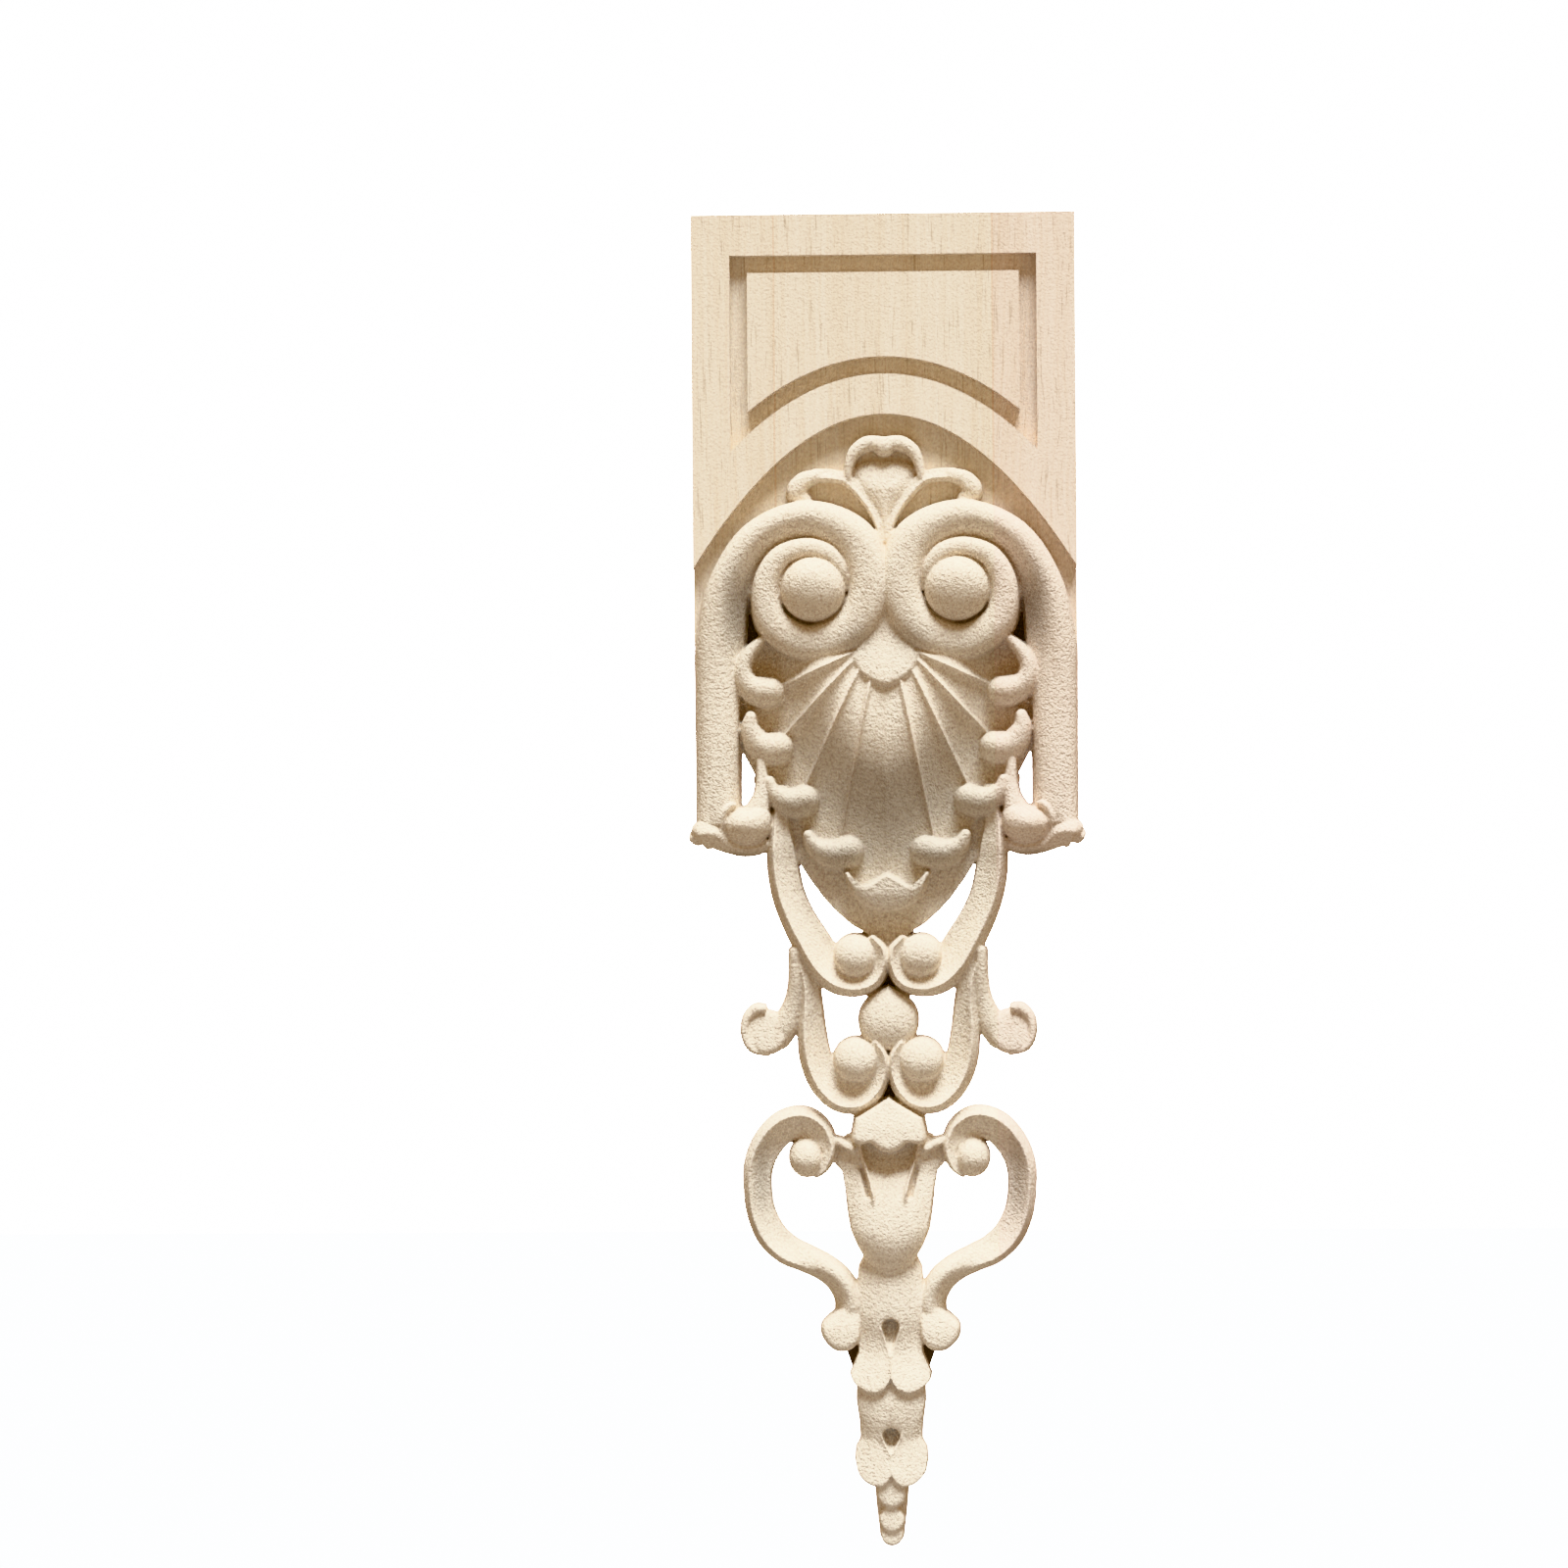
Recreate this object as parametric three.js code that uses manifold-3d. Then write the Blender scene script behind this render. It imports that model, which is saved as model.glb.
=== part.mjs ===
// A carved wooden applique: a grooved board with an arched field, a pair of volutes over a scallop shell,
// and below them openwork scrolls, a calyx with two handles and a drop of husks. It is cut from one piece
// of wood with a flat back. The back lies in the plane y = 0, the carving faces -Y and +Z is up.
import * as THREE from 'three';
import { mergeVertices } from 'three/addons/utils/BufferGeometryUtils.js';
import Module from 'manifold-3d';

const wasm = await Module();
wasm.setup();

// Driving dimensions, in millimetres
const HEIGHT = 400; // top edge of the board to the tip of the drop
const WIDTH = 115; // across the board
const BOARD = 12; // thickness of the board
const FIELD = 7; // thickness left in the arched field
const BORDER = 11.6; // board left beside the groove
const TOP_BORDER = 12.3; // board left above the groove
const GROOVE = 5.2; // width of the groove
const GROOVE_DEPTH = 4; // depth of the groove
const ARCH_BAND = 12; // board left between the groove and the field
const BACKING = 4.5; // thickness of the plate behind the shell
const LEG = 14.5; // the two legs at their feet, above the back
const VOLUTE = 18; // top of the volutes' rolls, above the back
const EYE = 22; // top of the volutes' eyes, above the back
const SHELL = 13; // the shell where its flutes start, above the back
const SHELL_DIP = 6.5; // the shell at its lowest, near its rim, above the back
const FLUTE = 1; // depth of a flute between its ridges
const LOBE = 14; // top of the lobes on the shell's rim, above the back
const SCROLL = 12.5; // rims of the scrolls below the shell, above the back
const BEAD = 14.5; // beads in the scrolls, above the back
const CALYX = 14; // top of the calyx, above the back
const HANDLE = 10.5; // crest of the handles, above the back
const HUSK = 11.5; // lips of the husks, above the back
const TIP = 7; // last scale of the drop, above the back
const DRAFT = 0.1; // how far a side leans out for each millimetre of its height

// The carving is drawn on a board 115 wide and 400 tall, as distances out from the middle line and down
// from the top edge. It is stretched with the board.
const wide = WIDTH / 115;
const tall = HEIGHT / 400;

function place(out, down, above) {
  return new THREE.Vector3(out * wide, -above, HEIGHT / 2 - down * tall);
}

// Solids and their joining

function solidOf(geometry) {
  const bare = geometry.clone();
  bare.deleteAttribute('normal');
  bare.deleteAttribute('uv');
  const merged = mergeVertices(bare, 1e-4);
  const vertProperties = merged.attributes.position.array;
  const triVerts = new Uint32Array(merged.index.array);
  const solid = new wasm.Manifold(new wasm.Mesh({ numProp: 3, vertProperties, triVerts }));
  if (solid.volume() > 0) return solid;
  for (let i = 0; i < triVerts.length; i += 3) {
    [triVerts[i + 1], triVerts[i + 2]] = [triVerts[i + 2], triVerts[i + 1]];
  }
  return new wasm.Manifold(new wasm.Mesh({ numProp: 3, vertProperties, triVerts }));
}

function bothSides(geometry) {
  return [solidOf(geometry), solidOf(geometry.clone().scale(-1, 1, 1))];
}

function reshape(geometry, move) {
  const position = geometry.attributes.position;
  const vertex = new THREE.Vector3();
  for (let i = 0; i < position.count; i++) {
    const moved = move(vertex.fromBufferAttribute(position, i));
    position.setXYZ(i, moved.x, moved.y, moved.z);
  }
  return geometry;
}

// A flat slab between two heights above the back. Its outline is in real sizes: out and down.
function slab(outline, from, to) {
  const shape = new THREE.Shape(outline.map(([out, down]) => new THREE.Vector2(out, HEIGHT / 2 - down)));
  const geometry = new THREE.ExtrudeGeometry(shape, { depth: to - from, bevelEnabled: false });
  return solidOf(reshape(geometry, ({ x, y, z }) => new THREE.Vector3(x, -(from + z), y)));
}

// The points of an outline's right half and then of its left half, closed at the middle line.
function mirrored(half) {
  const left = half.filter(([out]) => out > 0).map(([out, down]) => [-out, down]);
  return [...half, ...left.reverse()];
}

// Sections of the rolls, from the inner edge (-1) to the outer edge (+1). The level is 0 at the shoulders
// and 1 at the crown.
const FULL = [[-1, 0], [-0.85, 0.53], [-0.48, 0.88], [0, 1], [0.48, 0.88], [0.85, 0.53], [1, 0]];
const ROUND = [[-1, 0], [-0.68, 0.73], [0, 1], [0.68, 0.73], [1, 0]];
const COVE = [[-1, 0.15], [-0.35, 0.2], [0.35, 0.9], [0.75, 0.9], [1, 0]];

// A roll is one section carried along a curve. Its stations are [out, down, half width, crown height].
// `rounds` counts the rings that round off its two ends.
function roll(stations, { section = ROUND, steps = 12, rounds = [1, 1], rise = 0.9 } = {}) {
  const line = new THREE.SplineCurve(stations.map(([out, down]) => new THREE.Vector2(out, down)));
  const size = new THREE.SplineCurve(stations.map(([, , half, crown]) => new THREE.Vector2(half, crown)));
  const at = (share, swing) => {
    const centre = line.getPoint(share);
    const along = line.getTangent(share);
    const { x: half, y: crown } = size.getPoint(share);
    centre.addScaledVector(along, Math.sin(swing) * half);
    const edge = crown - rise * half;
    return { centre, along, half: half * Math.cos(swing), edge, top: edge + rise * half * Math.cos(swing) };
  };
  const swings = [[], [1], [0.7, 1.2]];
  const rings = swings[rounds[0]].map((swing) => at(0, -swing)).reverse();
  for (let i = 0; i <= steps; i++) rings.push(at(i / steps, 0));
  rings.push(...swings[rounds[1]].map((swing) => at(1, swing)));

  const corners = section.length + 2;
  const pointOf = ({ centre, along, half, edge, top }, corner) => {
    const foot = half + DRAFT * edge;
    const sides = [[foot, 0], [-foot, 0]];
    const [lateral, above] =
      corner < section.length
        ? [section[corner][0] * half, edge + section[corner][1] * (top - edge)]
        : sides[corner - section.length];
    return [centre.x + along.y * lateral, centre.y - along.x * lateral, above];
  };
  const tube = new THREE.CylinderGeometry(1, 1, 1, corners, rings.length - 1);
  return reshape(tube, ({ x, y, z }) => {
    const ring = rings[Math.round((0.5 - y) * (rings.length - 1))];
    if (Math.hypot(x, z) < 0.5) return place(ring.centre.x, ring.centre.y, ring.edge / 2);
    const turn = Math.atan2(x, z) / (2 * Math.PI);
    return place(...pointOf(ring, Math.round(turn * corners + corners) % corners));
  });
}

// A bead or eye: a round boss with a domed top.
function boss(out, down, radius, shoulder, top, { tallness = 1, sides = 12, steps = 3 } = {}) {
  const profile = [new THREE.Vector2(0, 0), new THREE.Vector2(radius + DRAFT * shoulder, 0)];
  for (let i = 0; i <= steps; i++) {
    const swing = (i / steps) * (Math.PI / 2);
    const r = i < steps ? radius * Math.cos(swing) : 0;
    profile.push(new THREE.Vector2(r, shoulder + (top - shoulder) * Math.sin(swing)));
  }
  const lathe = new THREE.LatheGeometry(profile, sides);
  return reshape(lathe, ({ x, y, z }) => place(out + x, down + z * tallness, y));
}

// A pad: a cushion on a free outline, with its height set by how far down it is.
function pad(outline, shoulderAt, crownAt, { sides = 20, centre, swings = [0, 0.5, 1] } = {}) {
  const loop = new THREE.CatmullRomCurve3(
    outline.map(([out, down]) => new THREE.Vector3(out, down, 0)), true, 'catmullrom', 0.4,
  );
  const rim = loop.getSpacedPoints(sides).slice(0, sides);
  const middle = centre
    ? new THREE.Vector3(...centre, 0)
    : rim.reduce((sum, p) => sum.add(p), new THREE.Vector3()).divideScalar(sides);
  const puck = new THREE.CylinderGeometry(1, 1, 1, sides, swings.length);
  return reshape(puck, ({ x, y, z }) => {
    const layer = Math.round((y + 0.5) * swings.length);
    const swing = layer ? swings[layer - 1] : 0;
    const side = Math.round((Math.atan2(x, z) / (2 * Math.PI)) * sides + sides) % sides;
    const onAxis = Math.hypot(x, z) < 0.5;
    const from = onAxis ? middle.clone() : middle.clone().lerp(rim[side], Math.cos(swing));
    if (!layer) {
      const lean = onAxis ? 0 : DRAFT * shoulderAt(from.y);
      const away = from.clone().sub(middle).setLength(lean);
      return place(from.x + away.x, from.y + away.y, 0);
    }
    const rise = onAxis ? 1 : Math.sin(swing);
    const above = shoulderAt(from.y) + rise * (crownAt(from.y) - shoulderAt(from.y));
    return place(from.x, from.y, above);
  });
}

const level = (value) => () => value;

// A height that changes evenly between [down, height] stops.
function slope(stops) {
  return (down) => {
    const next = stops.findIndex(([stop]) => stop > down);
    if (next < 0) return stops[stops.length - 1][1];
    if (next === 0) return stops[0][1];
    const [[from, low], [to, high]] = [stops[next - 1], stops[next]];
    return THREE.MathUtils.mapLinear(down, from, to, low, high);
  };
}

// The board: grooved panel above, arched field below

const ARCH_APEX = 0.15 * HEIGHT; // top of the field, down from the top edge
const ARCH_DROP = 0.115 * HEIGHT; // top of the field down to where it meets the board's edges
const FIELD_FOOT = 0.322 * HEIGHT; // lower end of the field beside the legs

// The field's edge is a parabola, and the groove and the panel follow it at even distances above it.
function arch(offset, halfSpan, segments) {
  const points = [];
  for (let i = 0; i <= segments; i++) {
    const out = THREE.MathUtils.lerp(WIDTH / 2, -WIDTH / 2, i / segments) * 1.05;
    const share = out / (WIDTH / 2);
    const lean = (2 * ARCH_DROP * share) / (WIDTH / 2);
    const length = Math.hypot(1, lean);
    const down = ARCH_APEX + ARCH_DROP * share * share;
    points.push([out + (offset * lean) / length, down - offset / length]);
  }
  return clipped(points, halfSpan);
}

// An arch cut off square at both sides.
function clipped(points, halfSpan) {
  const inside = points.filter(([out]) => Math.abs(out) < halfSpan);
  const first = points.indexOf(inside[0]);
  const [from, to] = [points[first - 1], points[first]];
  const down = THREE.MathUtils.mapLinear(halfSpan, from[0], to[0], from[1], to[1]);
  return [[halfSpan, down], ...inside, [-halfSpan, down]];
}

function board() {
  const half = WIDTH / 2;
  const leg = 168 / 196; // where the field ends under the leg, as a share of the half width
  const outline = mirrored([
    [half, 0],
    [half, FIELD_FOOT],
    [half * leg, FIELD_FOOT],
    [half * 0.765, 114 * tall],
  ]);
  const field = [...arch(0, half + 1, 30), [-half - 1, 140 * tall], [half + 1, 140 * tall]];
  const grooveHalf = half - BORDER;
  const panelHalf = grooveHalf - GROOVE;
  const groove = [...arch(ARCH_BAND, grooveHalf, 26), [-grooveHalf, TOP_BORDER], [grooveHalf, TOP_BORDER]];
  const panelTop = TOP_BORDER + GROOVE;
  const panel = [...arch(ARCH_BAND + GROOVE, panelHalf, 26), [-panelHalf, panelTop], [panelHalf, panelTop]];
  const above = BOARD + 1;
  const ring = slab(groove, BOARD - GROOVE_DEPTH, above).subtract(slab(panel, 0, above + 1));
  return slab(outline, 0, BOARD).subtract(slab(field, FIELD, above)).subtract(ring);
}

// The crest: a palmette with a rolled lip and a curled leaf on each side

function crest() {
  const top = FIELD + 4.5;
  const palmette = pad(
    mirrored([[0, 73], [5, 74], [9.4, 76.2], [9.6, 79.5], [6.4, 86], [3, 93], [1.4, 104], [0, 106]]),
    level(FIELD + 1.5), level(top), { sides: 20, centre: [0, 83] },
  );
  const lip = roll(
    [[-11, 77.6, 1.2, top], [-8.9, 70.6, 1.4, top + 0.8], [-5, 68.9, 1.7, top + 1], [0, 69, 2.8, top + 1.4],
      [5, 68.9, 1.7, top + 1], [8.9, 70.6, 1.4, top + 0.8], [11, 77.6, 1.2, top]],
    { steps: 10 },
  );
  const rib = roll(
    [[1.2, 98, 0.8, top], [3.2, 91.4, 1.1, top], [6.6, 85.4, 1.3, top], [10.8, 80.6, 1.5, top],
      [15.4, 77.8, 1.6, top], [20.4, 77.4, 2, top]],
    { steps: 7 },
  );
  const curl = roll(
    [[20.4, 77.6, 2.2, top], [24.2, 80, 3.2, top + 0.8], [25.4, 85, 3.4, top]],
    { steps: 3 },
  );
  return [solidOf(palmette), solidOf(lip), ...bothSides(rib), ...bothSides(curl)];
}

// The volutes: each rises from its leg, rolls over and winds in to a round eye

function volutes() {
  const winding = roll(
    [[50.6, 182, 5.9, LEG], [50.4, 159.2, 6, LEG], [50.3, 141.6, 6.2, LEG + 0.5], [49.2, 127, 6.6, LEG + 1],
      [45.6, 111, 6.3, VOLUTE - 1.5], [37.4, 97.2, 5.9, VOLUTE - 1], [23, 91.3, 5.7, VOLUTE - 0.5],
      [8.9, 97.7, 6.3, VOLUTE], [4.6, 111.5, 6.2, VOLUTE], [10.2, 124, 5.9, VOLUTE - 1],
      [22.9, 128.4, 5.5, VOLUTE - 2],
      [33.4, 122.6, 4.8, VOLUTE - 1], [35.3, 112, 4, VOLUTE], [31.4, 103.8, 3.2, VOLUTE],
      [23.4, 100.6, 2.6, VOLUTE], [15.4, 103, 1.6, VOLUTE - 0.5]],
    { section: FULL, steps: 37, rounds: [0, 1] },
  );
  const floor = boss(22.8, 111.5, 18, 11, 12, { sides: 16, steps: 1 });
  const eye = boss(21.4, 112.3, 9.7, EYE - 8.5, EYE, { sides: 16, steps: 4 });
  return [...bothSides(winding), ...bothSides(floor), ...bothSides(eye)];
}

// The shell: a plate, a fan of flutes, a tongue over the hinge and rolled lobes on the rim

// Rim of the fan: [angle from straight down in degrees, radius as drawn]
const RIM = [[0, 83], [13, 73.5], [28, 63], [45, 54], [65, 48.5], [84, 46]];
// Ridges between the flutes, in degrees from straight down
const RIDGES = [-84, -61, -43, -27, -12.5, 12.5, 27, 43, 61, 84];

function shell() {
  const plate = mirrored([
    [0, 217.9], [5.5, 216.2], [11, 212.9], [15.6, 208.8], [19.1, 205], [23.2, 199.4], [27, 193.3],
    [31.3, 182.7],
    [37.9, 171.8], [39.9, 167.2], [44, 159.5], [45.9, 151.3], [46.8, 145.2], [47.4, 137.8], [48, 131],
    [45.6, 114], [0, 114],
  ]).map(([out, down]) => [out * wide, down * tall]);
  return [slab(plate, 0, BACKING), solidOf(fan()), solidOf(tongue()), ...lobes()];
}

function rimRadius(degrees) {
  return slope(RIM)(Math.abs(degrees));
}

function fan() {
  const hinge = 124; // the flutes' centre, as drawn
  const edges = [0, 0.16, 0.84]; // where a flute's floor begins and ends, as shares of its width
  const perFlute = edges.length;
  const columns = (RIDGES.length - 1) * perFlute;
  // Height along a flute, from the hinge (0) to the rim (1)
  const fall = slope([[0, SHELL], [0.3, SHELL], [0.55, SHELL - 3.2], [0.8, SHELL_DIP], [1, SHELL_DIP]]);
  const box = new THREE.BoxGeometry(1, 1, 1, columns, 1, 5);
  return reshape(box, ({ x, y, z }) => {
    const column = Math.round((x + 0.5) * columns);
    const flute = Math.min(Math.floor(column / perFlute), RIDGES.length - 2);
    const across = column < columns ? edges[column % perFlute] : 1;
    const degrees = THREE.MathUtils.lerp(RIDGES[flute], RIDGES[flute + 1], across);
    const share = THREE.MathUtils.lerp(0.06, 1, z + 0.5);
    const radius = rimRadius(degrees) * share;
    const angle = THREE.MathUtils.degToRad(degrees);
    const hollow = across > 0 && across < 1 ? FLUTE * Math.min(share / 0.4, 1) : 0;
    const above = y < 0 ? 0 : fall(share) - hollow;
    return place(radius * Math.sin(angle), hinge + radius * Math.cos(angle), above);
  });
}

function tongue() {
  const outline = mirrored([[0, 116], [4.4, 124], [9.9, 132.2], [8.6, 136.4], [4.6, 139.8], [0, 141.4]]);
  return pad(outline, level(SHELL + 0.8), level(SHELL + 2.5), { sides: 16, centre: [0, 132] });
}

function lobes() {
  const drawn = [
    [[38.6, 128.4, 1.4], [42.2, 132.6, 2.6], [42, 138.8, 3.6], [37.5, 143, 4.6], [34.2, 143, 4]],
    [[40.5, 150.3, 1.4], [40.4, 154.6, 3], [37, 159.2, 4.6], [32.6, 159.8, 4.3]],
    [[35, 169.6, 1.3], [33.4, 173.6, 2.8], [28.6, 176.1, 4.4], [24.8, 175.5, 4.1]],
    [[23.6, 185.9, 1.3], [21.4, 189.6, 2.8], [16.4, 191.7, 4.3], [11.6, 191, 4.2]],
  ];
  const rolled = drawn.map((stations, i) =>
    roll(stations.map(([out, down, half]) => [out, down, half, LOBE - 0.5 * i]), { steps: 5 }),
  );
  const lowest = roll(
    [[-11.8, 198, 0.9, LOBE - 3], [-6.8, 203, 2.7, LOBE - 2.4], [0, 203.2, 4.6, LOBE - 2],
      [6.8, 203, 2.7, LOBE - 2.4], [11.8, 198, 0.9, LOBE - 3]],
    { steps: 8 },
  );
  const rims = roll([[38, 169, 2, BACKING + 1.5], [33, 182, 2, BACKING + 1.5]], { steps: 1 });
  return [...rolled.flatMap(bothSides), ...bothSides(rims), solidOf(lowest)];
}

// The feet of the legs: a short leaf pointing out and a lobe rolled over it

function feet() {
  const leaf = roll(
    [[58.2, 186.4, 1.5, LEG - 3.5], [54.8, 185, 2.3, LEG - 2.5], [49.6, 186.8, 2.2, LEG - 3],
      [44, 188.8, 2.2, LEG - 3.5], [37.8, 188.4, 2, LEG - 4]],
    { steps: 6 },
  );
  const neck = roll(
    [[37, 166, 1.9, LEG - 2.5], [36.4, 174, 2.6, LEG - 2], [36.8, 181, 3.6, LEG - 0.5]],
    { steps: 4 },
  );
  const lobe = boss(42.6, 182.6, 5.2, LEG - 3.5, LEG, { sides: 14 });
  const curl = roll(
    [[46.6, 187.2, 1.2, LEG - 1.5], [48.8, 183, 1.3, LEG - 0.5], [48.4, 179, 1.2, LEG - 0.5],
      [45.8, 177.4, 1, LEG - 1]],
    { steps: 5 },
  );
  return [leaf, neck, lobe, curl].flatMap(bothSides);
}

// The openwork below the shell: two pairs of scrolls, a hook on each side and a bead between them

function scrolls() {
  const rim = SCROLL;
  const upper = roll(
    [[31.2, 171, 1.5, rim - 2], [32.1, 181.5, 2.1, rim - 1], [31.9, 189.1, 3.1, rim], [31.7, 195.9, 4, rim],
      [30, 203.8, 4.3, rim], [27.1, 210.9, 4.7, rim], [23.3, 217.6, 5, rim], [19.6, 224.4, 4.8, rim],
      [14.7, 229.4, 4, rim], [9.1, 231, 3, rim], [4, 229, 2.3, rim], [2.1, 224, 1.9, rim + 0.5],
      [3.7, 218.7, 1.8, rim + 1], [8, 216.2, 1.6, rim + 1]],
    { section: COVE, steps: 22, rounds: [0, 1] },
  );
  const lower = roll(
    [[26.3, 222.3, 1.8, rim - 2.5], [23.7, 229.6, 2.6, rim - 2], [23.2, 237, 3.2, rim - 1.5],
      [23.3, 244.9, 4.1, rim - 1], [22.2, 253.1, 4.3, rim - 1], [19.3, 260.1, 4.4, rim - 1],
      [14.4, 264.2, 4.5, rim - 1], [8.8, 264.2, 4.1, rim - 1], [4.4, 261, 3.1, rim - 1],
      [2.5, 256.6, 2.2, rim - 1],
      [2.5, 251.6, 1.8, rim], [5.1, 247.8, 1.6, rim]],
    { section: COVE, steps: 19, rounds: [0, 1] },
  );
  const upperBead = boss(9.5, 223.2, 6.3, BEAD - 5.5, BEAD);
  const lowerBead = boss(9.8, 253.2, 6.7, BEAD - 6.5, BEAD - 1);
  return [upper, lower, upperBead, lowerBead].flatMap(bothSides);
}

function hooks() {
  const top = SCROLL - 3.5;
  const neck = roll(
    [[27.5, 220.8, 1.5, top + 2], [27.6, 229.6, 2.2, top + 1], [28.8, 237.2, 2.9, top],
      [31.8, 242.6, 3.8, top]],
    { steps: 5 },
  );
  const bowl = boss(36.9, 246.2, 5.8, top - 3.5, top, { steps: 3 });
  const curl = roll(
    [[39.5, 251.2, 1.2, top], [42.4, 247.4, 1.3, top + 0.5], [42.6, 242.6, 1.4, top + 0.5],
      [39.6, 239.2, 1.3, top + 0.5], [36.4, 238.8, 1, top]],
    { steps: 7 },
  );
  return [neck, bowl, curl].flatMap(bothSides);
}

// The bead in the middle, and the thin web of wood left behind it and between the scrolls
function middleBead() {
  const outline = mirrored([[3, 220], [3, 268]]).map(([out, down]) => [out * wide, down * tall]);
  const web = slab(outline, 0, 2.5);
  return [web, solidOf(boss(0, 240.9, 8.1, SCROLL - 5, SCROLL - 0.5, { tallness: 1.06, sides: 16 }))];
}

// The calyx: a cap over a hollowed body, held by two handles

function calyx() {
  const body = pad(
    mirrored([[0, 318], [3.4, 317.2], [7.2, 313.4], [10, 306.5], [11.8, 299.4], [12.6, 292.4],
      [13.6, 287.4],
      [16.4, 283.8], [16, 279.6], [10.7, 277.6], [0, 272]]),
    slope([[280, CALYX - 6.5], [298, CALYX - 5], [318, CALYX - 5]]),
    slope([[278, CALYX - 4.5], [290, CALYX - 1.5], [300, CALYX - 0.5], [310, CALYX - 1.5],
      [318, CALYX - 3.5]]),
    { sides: 26, centre: [0, 300], swings: [0, 0.5, 1.1] },
  );
  const hollow = pad(
    mirrored([[0, 272], [5.6, 273], [7.6, 278], [6.6, 283], [4.6, 288], [2, 290.6], [0, 291]]),
    level(CALYX + 1), level(CALYX + 1.5), { sides: 16, centre: [0, 281] },
  );
  const hollowFloor = pad(
    mirrored([[0, 268], [12, 272], [11, 288], [0, 296]]),
    slope([[276, CALYX - 8], [284, CALYX - 6], [292, CALYX - 1.5]]),
    slope([[276, CALYX - 8], [284, CALYX - 6], [292, CALYX - 1.5]]), { sides: 12 },
  );
  const lips = roll(
    [[9.4, 277.4, 0.8, CALYX - 2.5], [8, 282, 0.9, CALYX - 2], [6.4, 287, 0.9, CALYX - 1.4],
      [4.9, 292.6, 0.8, CALYX - 1]],
    { steps: 4 },
  );
  const cap = pad(
    mirrored([[0, 265.2], [4.7, 268], [9.6, 271], [10.8, 277.4], [7.6, 278.4], [4.6, 278.2],
      [2.6, 279.8], [0, 280.6]]),
    level(CALYX - 1.5), level(CALYX + 1), { sides: 20, centre: [0, 273] },
  );
  const hollowed = solidOf(body).subtract(solidOf(hollow).subtract(solidOf(hollowFloor)));
  return [hollowed, ...bothSides(lips), solidOf(cap)];
}

// Each handle sweeps round from its bead and runs down into a leaf beside the husk.
function handles() {
  const loop = roll(
    [[20.7, 288.3, 1.2, HANDLE - 1], [18.4, 284.5, 1.5, HANDLE], [18, 279.5, 2.3, HANDLE],
      [20.6, 274.8, 3.5, HANDLE], [25.9, 272.3, 4.3, HANDLE], [32, 273.8, 4.5, HANDLE],
      [36.8, 279, 4.4, HANDLE], [39.5, 285.3, 4.2, HANDLE], [39.8, 292.1, 4.1, HANDLE],
      [38.8, 299.4, 4.1, HANDLE], [35.6, 306, 4.2, HANDLE], [31, 310.3, 4, HANDLE],
      [25.6, 313.2, 3.8, HANDLE], [20, 316, 3.6, HANDLE - 0.5], [15.4, 320, 3.7, HANDLE - 1.5],
      [12.8, 325.6, 3.9, HANDLE - 3], [13.4, 331, 4.6, HANDLE - 2], [15, 335, 4.9, HANDLE]],
    { section: COVE, steps: 28, rounds: [1, 2] },
  );
  const bead = boss(24.7, 283, 5.6, HANDLE - 5, HANDLE + 0.5);
  return [loop, bead].flatMap(bothSides);
}

// The drop: two husks with paired petals, each with a teardrop eye, then three scales

function drop() {
  const first = husk(
    slope([[310, 6.6], [316, 9.6], [324, 10.2], [331, 9.6], [338, 9.4], [343, 11], [353, 10.6]]),
    slope([[311, HUSK - 3], [324, HUSK - 1.8], [338, HUSK - 3], [346, HUSK - 1.5], [352, HUSK]]),
    [311, 347.1, 352.6],
    [330.8, 333, 341.6],
  );
  const second = husk(
    slope([[343, 8.6], [351.3, 9.9], [360, 9.2], [365, 9], [369, 10.4], [374, 10.6], [381, 8.6]]),
    slope([[343, HUSK - 3.5], [354, HUSK - 3.2], [366, HUSK - 4.6], [374, HUSK - 3], [380, HUSK - 1.5]]),
    [343, 376.4, 380.7],
    [363.7, 365.8, 371.4],
  );
  const scales = [[376, 382.8, 4.5, TIP + 2], [384, 390.4, 4.2, TIP + 1]].map(([from, to, half, crown]) =>
    solidOf(roll(
      [[0, from, half * 0.8, crown - 1], [0, to, half, crown]],
      { steps: 2, rounds: [0, 2], rise: 0.6 },
    )),
  );
  const last = boss(0, 395.9, 3.6, TIP - 2, TIP);
  return [first, second, ...scales, solidOf(last)];
}

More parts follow.
